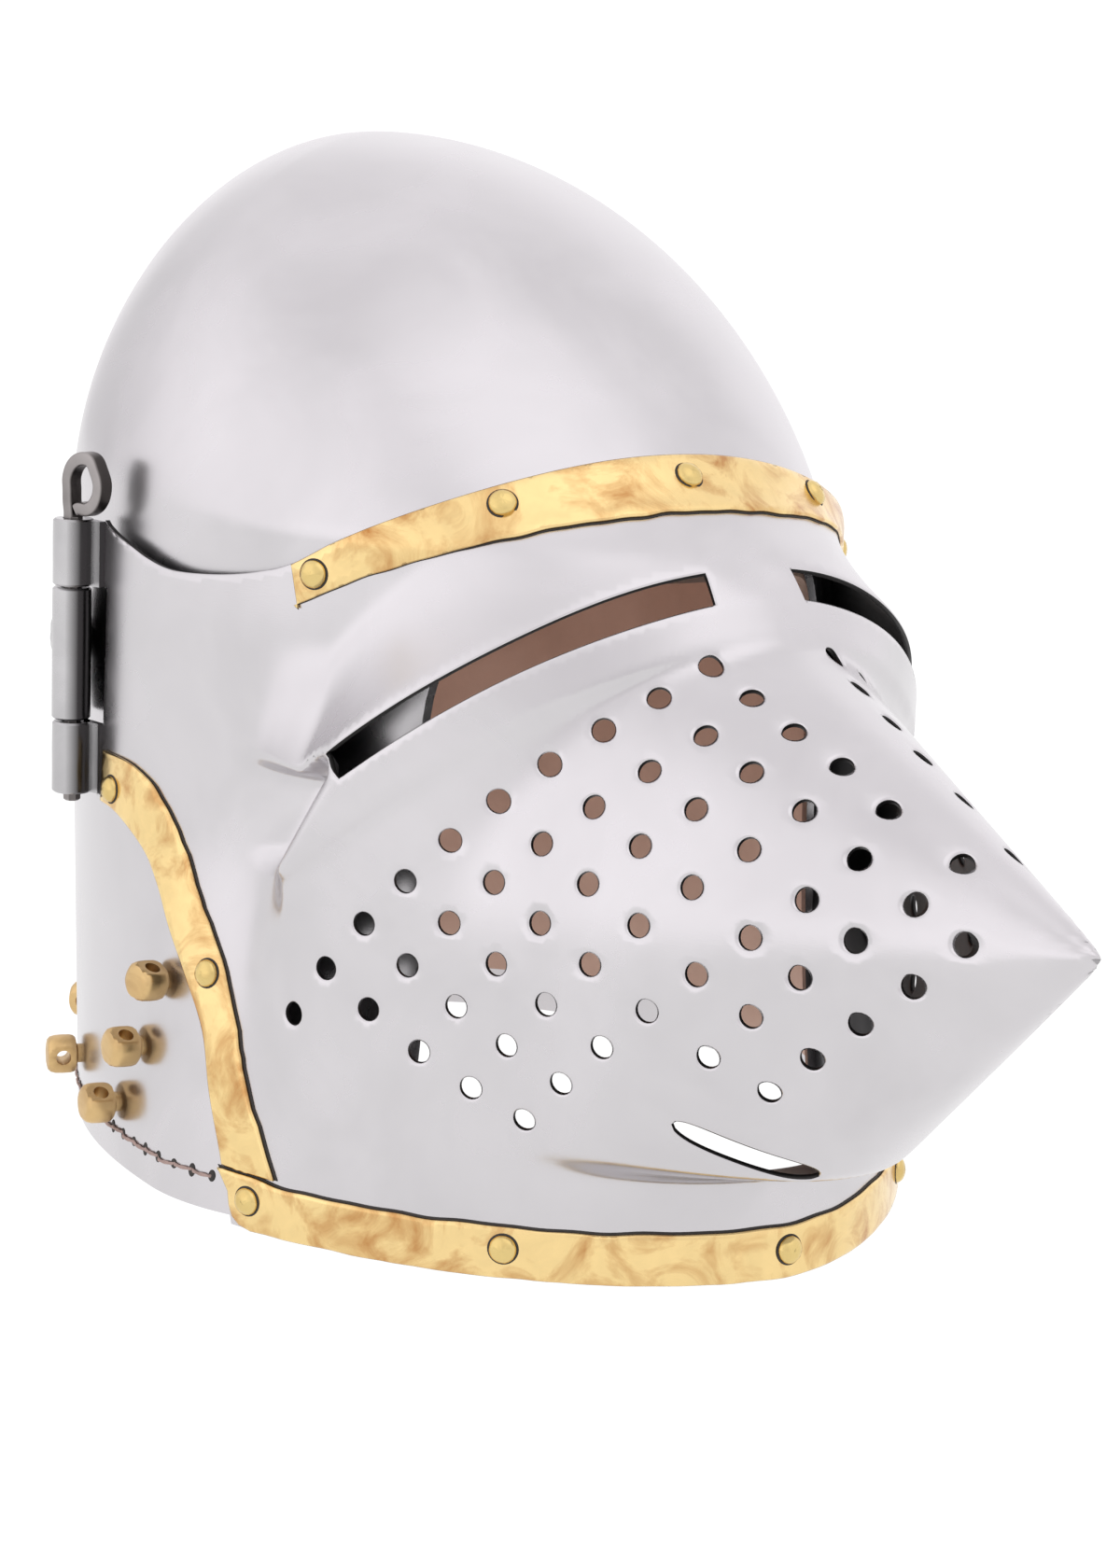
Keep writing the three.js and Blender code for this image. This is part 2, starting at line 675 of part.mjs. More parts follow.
function makeVisor() {
  const notchTop = HINGE.middleTop + HINGE.gap;
  const notchBottom = HINGE.middleBottom - HINGE.gap;
  const notchFront = VISOR_SIDE.back - 2.2;
  const notch = sideSlab([
    [notchFront, notchBottom], [notchFront + 30, notchBottom], [notchFront + 30, notchTop], [notchFront, notchTop],
  ]);
  let visor = visorSheet(-VISOR.wall, 0)
    .intersect(sideSlab(visorOutline()))
    .subtract(slotCutters())
    .subtract(holeCutters());
  for (const side of [-1, 1]) {
    visor = visor
      .add(tongue(side, notchTop, HINGE.top))
      .add(barrel(side, notchTop, HINGE.top))
      .add(tongue(side, HINGE.bottom, notchBottom))
      .add(barrel(side, HINGE.bottom, notchBottom));
  }
  const { x, y } = hingeAt(1);
  const drill = lathe([[0, HINGE.bottom - 5], [HINGE.bore, HINGE.bottom - 5], [HINGE.bore, HINGE.top + 5], [0, HINGE.top + 5]], 10);
  drill.rotateX(Math.PI / 2);
  for (const side of [-1, 1]) {
    const copy = drill.clone();
    copy.translate(side * x, y, 0);
    visor = visor.subtract(toSolid(copy));
  }
  return toGeometry(visor.subtract(notch), 0.3);
}

// Brass trims lie on the visor's outer face
function makeTrim(outline, cutAway = null) {
  const trim = visorSheet(BAND.seat, BAND.seat + BAND.thickness).intersect(sideSlab(outline));
  return cutAway ? trim.subtract(cutAway) : trim;
}

function browOutline() {
  const top = VISOR_TOP.map(sidePoint).filter(([y]) => y < BROW_FOOT[0].back * VISOR_SIDE.back);
  const end = [-0.705 * VISOR_SIDE.back, 0.981 * VISOR_SIDE.level];
  return [...BROW_FOOT.map(sidePoint), [-100, 1.21 * VISOR_SIDE.level], ...top.reverse(), end];
}

function chinOutline(grow) {
  const front = -VISOR.snoutReach;
  const end = CHIN_END.map(sidePoint).map(([y, z]) => [y + grow, Math.max(z, VISOR.lift - grow)]);
  return [[front, VISOR.lift - grow], ...end, [end[2][0] - 1.5, BAND.width + grow], [front, BAND.width + grow]];
}

function stripOutline() {
  const rear = VISOR_REAR.map(sidePoint);
  const low = ([y, z]) => [y, Math.max(z, VISOR.lift)];
  return [...STRIP_FRONT.map(sidePoint).map(low), ...rear.reverse().map(low)];
}

// The two halves of a piece that is repeated on the left and the right
const half = (side) => toSolid(new THREE.BoxGeometry(400, 800, 800).translate(-side * 200, 0, 200));

// Domed rivet head on a disc
function domeHead(radius, height, sides) {
  return lathe([[0, 0], [radius, 0], [radius, height * 0.2], [radius * 0.72, height * 0.75], [0, height]], sides);
}

// Reach of the visor's flat facet between two of its columns
function facetReach(signedBearing, level) {
  const bearing = Math.abs(signedBearing);
  const column = Math.max(VISOR_BEARINGS.findIndex((limit) => limit >= bearing), 1);
  const [from, to] = [VISOR_BEARINGS[column - 1], VISOR_BEARINGS[column]];
  const [near, far] = [visorReach(from, level), visorReach(to, level)];
  const across = near * Math.sin((bearing - from) * DEG) + far * Math.sin((to - bearing) * DEG);
  return (near * far * Math.sin((to - from) * DEG)) / across;
}

function makeRivet(side, spot) {
  const lift = BAND.seat + BAND.thickness + RIVET.seat;
  return standOn(domeHead(RIVET.radius, RIVET.height, 8), facetReach, side * spot.bearing, spot.level, lift);
}

// Skull's half width at a place seen from the side
function skullSide(y, level) {
  const oval = skullSection(level);
  const length = y < oval.centre ? oval.centre - oval.front : oval.back - oval.centre;
  const power = y < oval.centre ? oval.frontPower : oval.backPower;
  return oval.side * (1 - (Math.abs(y - oval.centre) / length) ** power) ** (1 / power);
}

// Skull's greatest half width on a circle about the pivot, which the arm has to clear as it turns
function sweptSide(radius) {
  const widths = Array.from({ length: 24 }, (_, k) => {
    const turn = k * 15 * DEG;
    return skullSide(ARM.pivotBack + radius * Math.cos(turn), ARM.pivotLevel + radius * Math.sin(turn));
  });
  return Math.max(...widths);
}

// Arm: a plate, flat about the pivot, that clears the skull and swings out to the middle barrel
function armSide(y, level) {
  const radius = Math.hypot(y - ARM.pivotBack, level - ARM.pivotLevel);
  const base = sweptSide(Math.max(radius, ARM.flat)) + ARM.seat;
  return mix(base, HINGE.outer - 2.6, ease((ARM.pivotBack - 10 - y) / 11));
}

function makeArm(side) {
  const near = HINGE.back - 0.5;
  const far = ARM.pivotBack + ARM.radius + 2;
  const shares = [0, 0.09, 0.2, 0.32, 0.45, 0.6, 0.8, 1];
  const levels = [0, 0.25, 0.5, 0.75, 1].map((share) => mix(HINGE.middleBottom, HINGE.middleTop, share));
  const layer = (lift) => shares.map((share) => levels.map((level) => {
    const y = mix(near, far, share);
    return [-side * (armSide(y, level) + lift), y, level];
  }));
  const plate = side > 0 ? sheet(layer(0), layer(ARM.thickness)) : sheet(layer(ARM.thickness), layer(0));
  const round = Array.from({ length: 9 }, (_, k) => {
    const angle = ((k / 8) * 150 - 75) * DEG;
    return [ARM.pivotBack + ARM.radius * Math.cos(angle), ARM.pivotLevel + ARM.radius * Math.sin(angle)];
  });
  const outline = [[near - 1, HINGE.middleBottom], [near + 6, HINGE.middleBottom], ...round,
    [near + 6, HINGE.middleTop], [near - 1, HINGE.middleTop]];
  const { x, y } = hingeAt(side);
  const bore = lathe([[0, 80], [HINGE.bore, 80], [HINGE.bore, 190], [0, 190]], 10);
  bore.rotateX(Math.PI / 2);
  bore.translate(x, y, 0);
  const outside = HINGE.outer + HINGE.radius;
  const pivotBore = lathe([[0, 0], [ARM.bore, 0], [ARM.bore, outside], [0, outside]], 10);
  return plate
    .intersect(sideSlab(outline))
    .add(barrel(side, HINGE.middleBottom, HINGE.middleTop))
    .subtract(toSolid(bore))
    .subtract(atPivot(pivotBore, side));
}

// Turns an upright piece outward along the pivot's axis
function atPivot(geometry, side) {
  geometry.rotateZ((side * Math.PI) / 2);
  geometry.translate(0, ARM.pivotBack, ARM.pivotLevel);
  return toSolid(geometry);
}

// Pivot rivet: a shank that stands on the skull, passes through the arm and ends in a domed head
function makePivotRivet(side) {
  const foot = skullSide(ARM.pivotBack - ARM.shank, ARM.pivotLevel) + RIVET.seat;
  const seat = sweptSide(ARM.flat) + ARM.seat + ARM.thickness + RIVET.seat;
  const rivet = lathe([
    [0, foot],
    [ARM.shank, foot],
    [ARM.shank, seat],
    [ARM.rivetRadius, seat],
    [ARM.rivetRadius, seat + ARM.rivetHeight * 0.2],
    [ARM.rivetRadius * 0.72, seat + ARM.rivetHeight * 0.75],
    [0, seat + ARM.rivetHeight],
  ], 10);
  return atPivot(rivet, side);
}

// Hinge pin: a round shank and a flat eye to pull it by
function makePin(side) {
  const { x, y } = hingeAt(side);
  const shank = lathe([
    [0, HINGE.bottom - HINGE.pinFoot],
    [HINGE.pin * 0.8, HINGE.bottom - HINGE.pinFoot],
    [HINGE.pin, HINGE.bottom - HINGE.pinFoot + 1],
    [HINGE.pin, HINGE.top + 5],
    [0, HINGE.top + 5],
  ], 10);
  shank.rotateX(Math.PI / 2);
  const eye = new THREE.Shape();
  eye.absellipse(0, 0, HINGE.eyeReach, HINGE.eyeHeight / 2, 0, 2 * Math.PI);
  const opening = new THREE.Path();
  opening.absellipse(0, 0, HINGE.eyeReach - HINGE.eyeBand, HINGE.eyeHeight / 2 - HINGE.eyeBand, 0, 2 * Math.PI);
  eye.holes.push(opening);
  const bar = new THREE.ExtrudeGeometry(eye, { depth: HINGE.eyeBar, bevelEnabled: false, curveSegments: 7 });
  bar.translate(0, 0, -HINGE.eyeBar / 2);
  bar.applyMatrix4(new THREE.Matrix4().set(0, 0, 1, 0, 1, 0, 0, 0, 0, 1, 0, 0, 0, 0, 0, 1));
  bar.translate(0, -HINGE.eyeForward, HINGE.top + 0.6 + HINGE.eyeHeight / 2);
  const pin = toSolid(shank).add(toSolid(bar));
  return pin.translate([x, y, 0]);
}

// Vervelle: a small block with a bore along the skull's edge for the mail curtain's wire
function makeVervelle(side, spot, along) {
  const size = VERVELLE.size;
  const corner = 1.4;
  const h = size / 2;
  const outline = new THREE.Shape();
  const points = [[-h, 0], [h, 0], [h, VERVELLE.depth - corner], [h - corner, VERVELLE.depth],
    [-h + corner, VERVELLE.depth], [-h, VERVELLE.depth - corner]];
  points.forEach(([x, y], i) => (i === 0 ? outline.moveTo(x, y) : outline.lineTo(x, y)));
  const bore = new THREE.Path();
  bore.absarc(0, VERVELLE.depth * 0.52, VERVELLE.hole / 2, 0, 2 * Math.PI);
  outline.holes.push(bore);
  const block = new THREE.ExtrudeGeometry(outline, { depth: size, bevelEnabled: false, curveSegments: 4 });
  block.translate(0, 0, -h);
  const { here, out } = frameAt(skullReach, side * spot.bearing, spot.level);
  const wire = new THREE.Vector3(...along).projectOnPlane(out).normalize();
  const across = new THREE.Vector3().crossVectors(out, wire);
  const basis = new THREE.Matrix4().makeBasis(across, out, wire);
  block.applyMatrix4(basis);
  const lift = VERVELLE.seat;
  block.translate(here.x + out.x * lift, here.y + out.y * lift, here.z + out.z * lift);
  return block;
}

// The wire runs from each vervelle towards the next
function wireDirection(side, index) {
  const at = (i) => {
    const spot = VERVELLES[clamp(i, 0, VERVELLES.length - 1)];
    return new THREE.Vector3(...place(side * spot.bearing, skullReach(spot.bearing, spot.level), spot.level));
  };
  const steep = index <= 2;
  const ahead = steep ? at(Math.min(index + 1, 2)) : at(index + 1).setZ(0);
  const behind = steep ? at(Math.max(index - 1, 0)) : at(index - 1).setZ(0);
  return ahead.sub(behind).toArray();
}

// Lining thread round the rear of the rim
function makeThread() {
  const count = 26;
  const rings = Array.from({ length: count + 1 }, (_, k) => {
    const bearing = mix(THREAD.firstBearing, 360 - THREAD.firstBearing, k / count);
    const away = skullReach(bearing, THREAD.level, THREAD.seat + THREAD.radius);
    return Array.from({ length: 4 }, (_, i) => {
      const turn = (i / 4) * 2 * Math.PI;
      return place(bearing, away + THREAD.radius * Math.cos(turn), THREAD.level + THREAD.radius * Math.sin(turn));
    });
  });
  return loft(rings);
}

const material = {
  steel: new THREE.MeshStandardMaterial({ color: 0xc9c6cf, metalness: 1, roughness: 0.22 }),
  brass: new THREE.MeshStandardMaterial({ color: 0xd8b45a, metalness: 1, roughness: 0.25 }),
  darkSteel: new THREE.MeshStandardMaterial({ color: 0x8d8a90, metalness: 1, roughness: 0.35 }),
  oldBrass: new THREE.MeshStandardMaterial({ color: 0xa8824a, metalness: 1, roughness: 0.35 }),
  leather: new THREE.MeshStandardMaterial({ color: 0x9a7563, metalness: 0, roughness: 0.8 }),
  thread: new THREE.MeshStandardMaterial({ color: 0x9a7f78, metalness: 0, roughness: 0.9 }),
};

const helmet = new THREE.Group();
const parts = new THREE.Group();
helmet.add(parts);

// The largest closed body of a trim, without the crumbs that a cut can leave
function whole(solid) {
  const pieces = solid.decompose();
  return pieces.reduce((best, piece) => (piece.volume() > best.volume() ? piece : best));
}

function addPiece(name, shape, finish) {
  const mesh = new THREE.Mesh(shape.isBufferGeometry ? shape : toGeometry(shape), finish);
  mesh.name = name;
  parts.add(mesh);
}

const SIDES = [['right', 1], ['left', -1]];
const chinCut = sideSlab(chinOutline(0.9));
const strips = makeTrim(stripOutline(), chinCut);

addPiece('skull', makeSkull(), material.steel);
addPiece('liner', makeLiner(), material.leather);
addPiece('visor', makeVisor(), material.steel);
addPiece('brow_band', whole(makeTrim(browOutline())), material.brass);
addPiece('chin_band', whole(makeTrim(chinOutline(0))), material.brass);
addPiece('lining_thread', makeThread(), material.thread);

for (const [word, side] of SIDES) {
  addPiece(`side_strip_${word}`, whole(strips.intersect(half(side))), material.brass);
  addPiece(`hinge_arm_${word}`, makeArm(side), material.darkSteel);
  addPiece(`pivot_rivet_${word}`, makePivotRivet(side), material.steel);
  addPiece(`hinge_pin_${word}`, makePin(side), material.darkSteel);
  VERVELLES.forEach((spot, i) => {
    addPiece(`vervelle_${word}_${i + 1}`, toSolid(makeVervelle(side, spot, wireDirection(side, i))), material.oldBrass);
  });
}

for (const [row, spots] of Object.entries(TRIM_RIVETS)) {
  spots.forEach((spot, i) => {
    for (const [word, side] of SIDES) {
      const middle = spot.bearing === 0;
      if (!middle || side > 0) {
        const name = middle ? `${row}_rivet_middle` : `${row}_rivet_${word}_${i + 1}`;
        addPiece(name, toSolid(makeRivet(side, spot)), material.brass);
      }
    }
  });
}

// Stand the helmet over the middle of its footprint
const box = new THREE.Box3().setFromObject(parts);
parts.position.y = -(box.min.y + box.max.y) / 2;

export default helmet;
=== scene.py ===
"""Looks of the hounskull bascinet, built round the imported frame.

Named sizes are millimetres and degrees, in a head frame whose axis passes through the widest
place of the rim. A bearing is an angle round that axis, 0 at the front, positive to the
wearer's right. Meshes are moved back by SHIFT and scaled to metres when they are made.
"""
import math
from types import SimpleNamespace as Sizes

import bmesh
import bpy
import numpy as np
from mathutils import Matrix, Vector
from mathutils.geometry import delaunay_2d_cdt
from mathutils.kdtree import KDTree


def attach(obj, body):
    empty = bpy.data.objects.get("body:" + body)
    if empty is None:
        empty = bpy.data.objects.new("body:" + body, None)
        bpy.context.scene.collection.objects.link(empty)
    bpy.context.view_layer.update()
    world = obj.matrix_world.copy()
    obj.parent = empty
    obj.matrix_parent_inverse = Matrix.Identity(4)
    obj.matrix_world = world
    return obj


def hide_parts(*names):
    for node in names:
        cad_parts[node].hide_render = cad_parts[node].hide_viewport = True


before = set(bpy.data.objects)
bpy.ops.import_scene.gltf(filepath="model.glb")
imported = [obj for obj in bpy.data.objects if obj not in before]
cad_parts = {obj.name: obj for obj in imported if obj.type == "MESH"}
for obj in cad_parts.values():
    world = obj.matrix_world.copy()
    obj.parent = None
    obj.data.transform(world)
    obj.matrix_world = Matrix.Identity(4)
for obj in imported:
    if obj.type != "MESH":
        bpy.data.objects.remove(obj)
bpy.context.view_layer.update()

DEG = math.pi / 180
SKULL = Sizes(
    height=267.0, wall=1.6, waist=171.0, rim_side=104.0, rim_front=80.0, rim_back=128.0,
    dome_side=96.0, dome_front=84.0, dome_back=136.2, dome_centre=35.0, apex=70.5,
)
VISOR = Sizes(
    wall=1.6, gap=2.2, lift=0.8, chin=130.0, chin_side=107.8, slot=165.0, slot_drop=48.2,
    slot_end=57.8, slot_slant=3.0, slot_start=7.2, slot_height=8.2, upper=102.0, lower=107.0, crease=152.5,
    crease_drop=61.7, crease_end=62.6, crease_reach=113.0, flare=17.0, snout=227.0,
    snout_level=103.0, top_slope=0.42, bottom_slope=0.97, side_slope=0.5, fold=25.0, fold_height=9.0,
    temple_room=1.5, temple=80.0, temple_breadth=22.0, temple_level=142.0, temple_height=22.0,
    flare_growth=15.0, ledge_start=56.0, ledge_slant=8.0, ledge_breadth=5.0,
)
HINGE = Sizes(
    back=45.5, outer=105.3, radius=5.3, pin=2.4, top=166.0, bottom=94.5, middle_top=148.2,
    middle_bottom=113.8, side_back=40.0,
)
ARM = Sizes(
    back=68.0, level=131.0, radius=9.0, thickness=2.0, flat=12.0, clearance=0.4, stud=4.4,
    root=17.0, neck=11.0,
)
PIN = Sizes(middle=9.1, back=4.7, reach=5.7, rise=6.5, width=3.4, depth=4.4, turn=18.0, foot=2.4)
FACE = Sizes(bottom=58.0, brow=166.0, temple=128.0, temple_front=55.0)
HOLE_RADIUS = 2.8
RIVET = Sizes(radius=3.4, height=2.3, seat=1.22)
BROW = Sizes(
    end=70.2, top=191.6, top_fall=28.4, top_breadth=71.0, foot=179.1, foot_fall=27.0, foot_breadth=70.8,
)
CHIN = Sizes(end=72.5, top=13.2, foot=0.85)
REAR_EDGE, NOTCH_EDGE, STRIP_EDGE = 111.3, 110.2, 108.6  # bearings of the visor's rear edge
MOUTH = Sizes(width=5.4, start=4.5, end=16.8, low=35.1, high=46.3)

# Side views as shares of the hinge's place (back) and of the visor's side height (level)
SIDE_HEIGHT = 166.0
VISOR_TOP = [
    (1.0, 1.0), (0.83, 0.985), (0.62, 0.971), (0.43, 0.958), (0.23, 0.949), (0.05, 0.948),
    (-0.19, 0.952), (-0.38, 0.958), (-0.55, 0.967), (-0.75, 0.984), (-1.3, 1.065),
    (-1.56, 1.113), (-1.72, 1.143),
]
VISOR_REAR = [
    (0.93, 0.567), (0.61, 0.557), (0.27, 0.519), (0.08, 0.474), (-0.09, 0.418), (-0.32, 0.352),
    (-0.54, 0.281), (-0.67, 0.197), (-0.83, 0.094), (-0.9, 0.0),
]
STRIP_FRONT = [
    (0.855, 0.646), (0.52, 0.642), (0.283, 0.625), (0.133, 0.599), (0.008, 0.573), (-0.145, 0.527),
    (-0.313, 0.466), (-0.518, 0.403), (-0.768, 0.308), (-0.918, 0.227), (-1.178, 0.104), (-1.3, 0.04),
]

# Rows of breath holes: count, bearings (first, last, bow), levels (first, last, sag)
HOLE_ROWS = [
    (10, 9.4, 61.8, 1.7, 147.6, 56.9, 7.5),
    (9, 7.4, 50.2, 0.5, 142.2, 61.8, 4.6),
    (9, 6.0, 43.1, 0.2, 136.6, 53.5, 4.6),
    (9, 4.5, 36.4, 0.1, 131.2, 46.5, 3.7),
    (9, 3.8, 30.1, -0.5, 124.4, 40.7, 1.4),
    (6, 2.3, 15.2, 0.6, 116.4, 65.0, 2.0),
    (5, 3.9, 11.0, 0.1, 101.0, 58.7, -0.7),
]

# Rivets and vervelles as bearing and level; each is repeated on the other side
BROW_RIVETS = [(0, 186.4), (35.8, 180), (66, 161.3)]
CHIN_RIVETS = [(0, 7.6), (31.7, 8.1), (67, 8.4)]
SIDE_RIVETS = [(105.3, 98.1), (78.7, 60.5)]
VERVELLES = [(92.2, 53.1), (96.8, 33.8), (103.4, 15.3), (122.6, 17.6), (148.0, 17.6)]
SIDES = (("right", 1), ("left", -1))

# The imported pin's shank below its eye tells how far back the frame lies from the head frame
SHANK_TOP = 0.15
pin_points = [v.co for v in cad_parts["hinge_pin_right"].data.vertices]
shank_back = max((co.y for co in pin_points if co.z < SHANK_TOP), default=0.0)
SHIFT = shank_back * 1000 - HINGE.pin - HINGE.back


def ease(x):
    x = np.clip(x, 0.0, 1.0)
    return x * x * (3 - 2 * x)


def mix(a, b, t):
    return a + (b - a) * t


def smooth_max(a, b, width):
    h = np.clip(0.5 + 0.5 * (a - b) / width, 0, 1)
    return b + (a - b) * h + width * h * (1 - h)


def halving(outside, low, high, steps=26):
    """The place between low and high where outside(place) turns true, for whole arrays."""
    for _ in range(steps):
        middle = (low + high) / 2
        out = outside(middle)
        high = np.where(out, middle, high)
        low = np.where(out, low, middle)
    return (low + high) / 2


def skull_section(level):
    s = np.clip((level - SKULL.waist) / (SKULL.height - SKULL.waist), 0, 1)
    w = np.sin(np.clip(level / SKULL.waist, 0, 1) * math.pi / 2)
    up = level > SKULL.waist
    apex = SKULL.apex

    def closing(p, q):
        return (1 - s**p) ** (1 / q)

    side = np.where(up, SKULL.dome_side * closing(1.83, 1.95), mix(SKULL.rim_side, SKULL.dome_side, w))
    above = apex - (apex + SKULL.dome_front) * closing(1.01, 1.9)
    front = np.where(up, above, -mix(SKULL.rim_front, SKULL.dome_front, w))
    above = apex + (SKULL.dome_back - apex) * closing(2.38, 2.36)
    back = np.where(up, above, mix(SKULL.rim_back, SKULL.dome_back, w))
    centre = np.where(up, apex + (SKULL.dome_centre - apex) * np.sqrt(1 - s * s), SKULL.dome_centre * w)
    return side, front, back, centre, np.where(up, mix(1.9, 2, s), 1.9), np.where(up, mix(2.25, 2, s), 2.25)


def oval_reach(bearing, section, offset):
    side, front, back, centre, front_power, back_power = section
    sine, cosine = np.sin(bearing * DEG), np.cos(bearing * DEG)

    def outside(r):
        y = -r * cosine - centre
        length = np.where(y < 0, centre - front, back - centre) + offset
        power = np.where(y < 0, front_power, back_power)
        return (np.abs(r * sine) / (side + offset)) ** power + (np.abs(y) / length) ** power > 1

    shape = np.broadcast(bearing, side).shape
    return halving(outside, np.full(shape, 2.0), np.full(shape, 300.0))


def skull_reach(bearing, level, offset=0.0):
    return oval_reach(np.abs(bearing), skull_section(np.asarray(level, float)), offset)


def held(bearing):
    return np.minimum(np.abs(bearing), VISOR.crease_end)


def slot_middle(bearing):
    return VISOR.slot - VISOR.slot_drop * (held(bearing) / VISOR.slot_end) ** 1.9


def slot_half(bearing):
    share = 1 - 0.22 * np.exp(-((bearing / 14) ** 2)) + 0.12 * ease((bearing - 30) / 25)
    return VISOR.slot_height / 2 * share


def crease_level(bearing):
    return VISOR.crease - VISOR.crease_drop * (held(bearing) / VISOR.crease_end) ** 1.65


def cone_reach(bearing, level):
    tilt = (VISOR.top_slope - VISOR.bottom_slope) / 2
    opening = (VISOR.top_slope + VISOR.bottom_slope) / 2
    sine, cosine = np.sin(bearing * DEG), np.cos(bearing * DEG)

    def outside(r):
        behind = np.maximum(VISOR.snout - r * cosine, 1e-6)
        across = r * sine / (VISOR.side_slope * behind)
        rise = (level - VISOR.snout_level - tilt * behind) / (opening * behind)
        return (across**2 + rise**2 > 1) | (r * cosine >= VISOR.snout)

    shape = np.broadcast(bearing, level).shape
    return halving(outside, np.full(shape, 20.0), np.full(shape, VISOR.snout + 5))


def around(bearing, reach, level):
    """Points at a bearing, a distance from the axis and a level."""
    return np.stack([-reach * np.sin(bearing * DEG), -reach * np.cos(bearing * DEG), level + 0 * reach], -1)


def visor_form(bearing, level):
    """Outer face of the visor as a distance from the axis, before its folds are rounded."""
    along = held(bearing)
    clearance = VISOR.gap + VISOR.wall
    across = (bearing - VISOR.temple) / VISOR.temple_breadth
    upward = (level - VISOR.temple_level) / VISOR.temple_height
    room = VISOR.temple_room * np.exp(-(across**2) - upward**2)
    wall_line = skull_reach(bearing, level, clearance) + room
    top = slot_middle(along) + slot_half(along)
    bottom = slot_middle(along) - slot_half(along)
    crease = crease_level(along)
    upper = VISOR.upper + 5.3 * ease((along - 8) / 42) - 2.5 * np.exp(-((along / 5) ** 2))
    lower = VISOR.lower + 1.3 * np.exp(-(((along - 45) / 16) ** 2))
    crease_reach = VISOR.crease_reach - 4.2 * ease(along / 36) - 2 * ease((along - 40) / 24)
    stands = 1 - ease((bearing - 55) / 26)
    tip, corner = crease_level(VISOR.crease_end), slot_middle(VISOR.slot_end)
    slant = VISOR.ledge_slant * (1 - np.clip((level - tip) / (corner - tip), 0, 1))
    ledge = 1 - ease((bearing - VISOR.ledge_start - slant) / VISOR.ledge_breadth)
    flare = VISOR.flare + VISOR.flare_growth * ease(along / 50)
    u = np.clip((level - top) / flare, 0, 1)
    plate = wall_line + (upper - skull_reach(bearing, top, clearance)) * stands * (1 - u) ** 1.9
    flat = np.zeros_like(level)
    chin_oval = (
        flat + VISOR.chin_side, flat - VISOR.chin, flat + SKULL.rim_back + 3.8, flat,
        flat + 1.68, flat + 2.25,
    )
    chin = oval_reach(bearing, chin_oval, 0.0)
    side = mix(chin, wall_line, ease(level / 95))
    lip = mix(upper, lower, np.clip((top - level) / (top - bottom), 0, 1))
    face = mix(lower, crease_reach, np.clip((bottom - level) / (bottom - crease), 0, 1))
    eye = mix(side, np.where(level >= bottom, lip, face), ledge)
    cheek_top = crease_reach - 1.2 - 1.8 * ease((bearing - 35) / 20)
    below_crease = np.clip((crease - level) / 20, 0, 1)
    fading = mix(ledge, 1 - ease((bearing - 57) / 16), below_crease)
    cheek = mix(side, mix(chin, cheek_top, np.clip(level / crease, 0, 1)), fading)
    cone = smooth_max(cone_reach(np.minimum(bearing, 80.0), level), cheek, 4.0)
    above = ease((level - VISOR.fold) / VISOR.fold_height)
    snout = cheek + (cone - cheek) * above * (1 - ease((bearing - 62) / 14))
    return np.where(level >= top, plate, np.where(level >= crease, eye, snout))


def blurred(table, sigma, axis):
    reach = int(3 * sigma) + 1
    kernel = np.exp(-0.5 * (np.arange(-reach, reach + 1) / sigma) ** 2)
    kernel /= kernel.sum()
    pad = [(0, 0), (0, 0)]
    pad[axis] = (reach, reach)
    padded = np.pad(table, pad, mode="edge")
    return np.apply_along_axis(lambda line: np.convolve(line, kernel, mode="valid"), axis, padded)


class Visor:
    """The visor's outer face as a table of reaches with rounded folds."""

    step_b, step_z, last_b, last_z = 0.4, 0.5, 116.0, 205.0

    def __init__(self):
        b = np.arange(0, self.last_b + 0.01, self.step_b)
        z = np.arange(0, self.last_z + 0.01, self.step_z)
        bb, zz = np.meshgrid(b, z, indexing="ij")
        half = visor_form(bb, zz)
        table = np.concatenate([half[:0:-1], half])
        soft = blurred(blurred(table, 1.5, 0), 2.4, 1)
        bearing = np.concatenate([-b[:0:-1], b])[:, None]
        near_tip = np.exp(-((bearing / 5) ** 2) - ((z[None, :] - VISOR.snout_level) / 9) ** 2)
        self.table = soft + (table - soft) * near_tip * 0.6

    def reach(self, bearing, level):
        x = np.clip((bearing + self.last_b) / self.step_b, 0, self.table.shape[0] - 1.001)
        y = np.clip(level / self.step_z, 0, self.table.shape[1] - 1.001)
        i, j = x.astype(int), y.astype(int)
        fx, fy = x - i, y - j
        t = self.table
        low = t[i, j] * (1 - fx) + t[i + 1, j] * fx
        high = t[i, j + 1] * (1 - fx) + t[i + 1, j + 1] * fx
        return low * (1 - fy) + high * fy

    def points(self, bearing, level):
        return around(bearing, self.reach(bearing, level), level)

    def frame_at(self, bearing, level):
        """Points, outward directions and rising directions."""
        turn = self.points(bearing + 0.5, level) - self.points(bearing - 0.5, level)
        rise = self.points(bearing, level + 0.7) - self.points(bearing, level - 0.7)
        out = np.cross(turn, rise)
        out /= np.linalg.norm(out, axis=-1, keepdims=True)
        place = self.points(bearing, level)
        away = place * [1, 1, 0]
        out *= np.sign((out * away).sum(-1, keepdims=True))
        return place, out, rise / np.linalg.norm(rise, axis=-1, keepdims=True)


class Skull:
    """The skull's outer face below its crown, for what stands on it."""

    @staticmethod
    def points(bearing, level):
        return around(bearing, skull_reach(bearing, level), level)

    def frame_at(self, bearing, level):
        return Visor.frame_at(self, bearing, level)


visor = Visor()
skull = Skull()


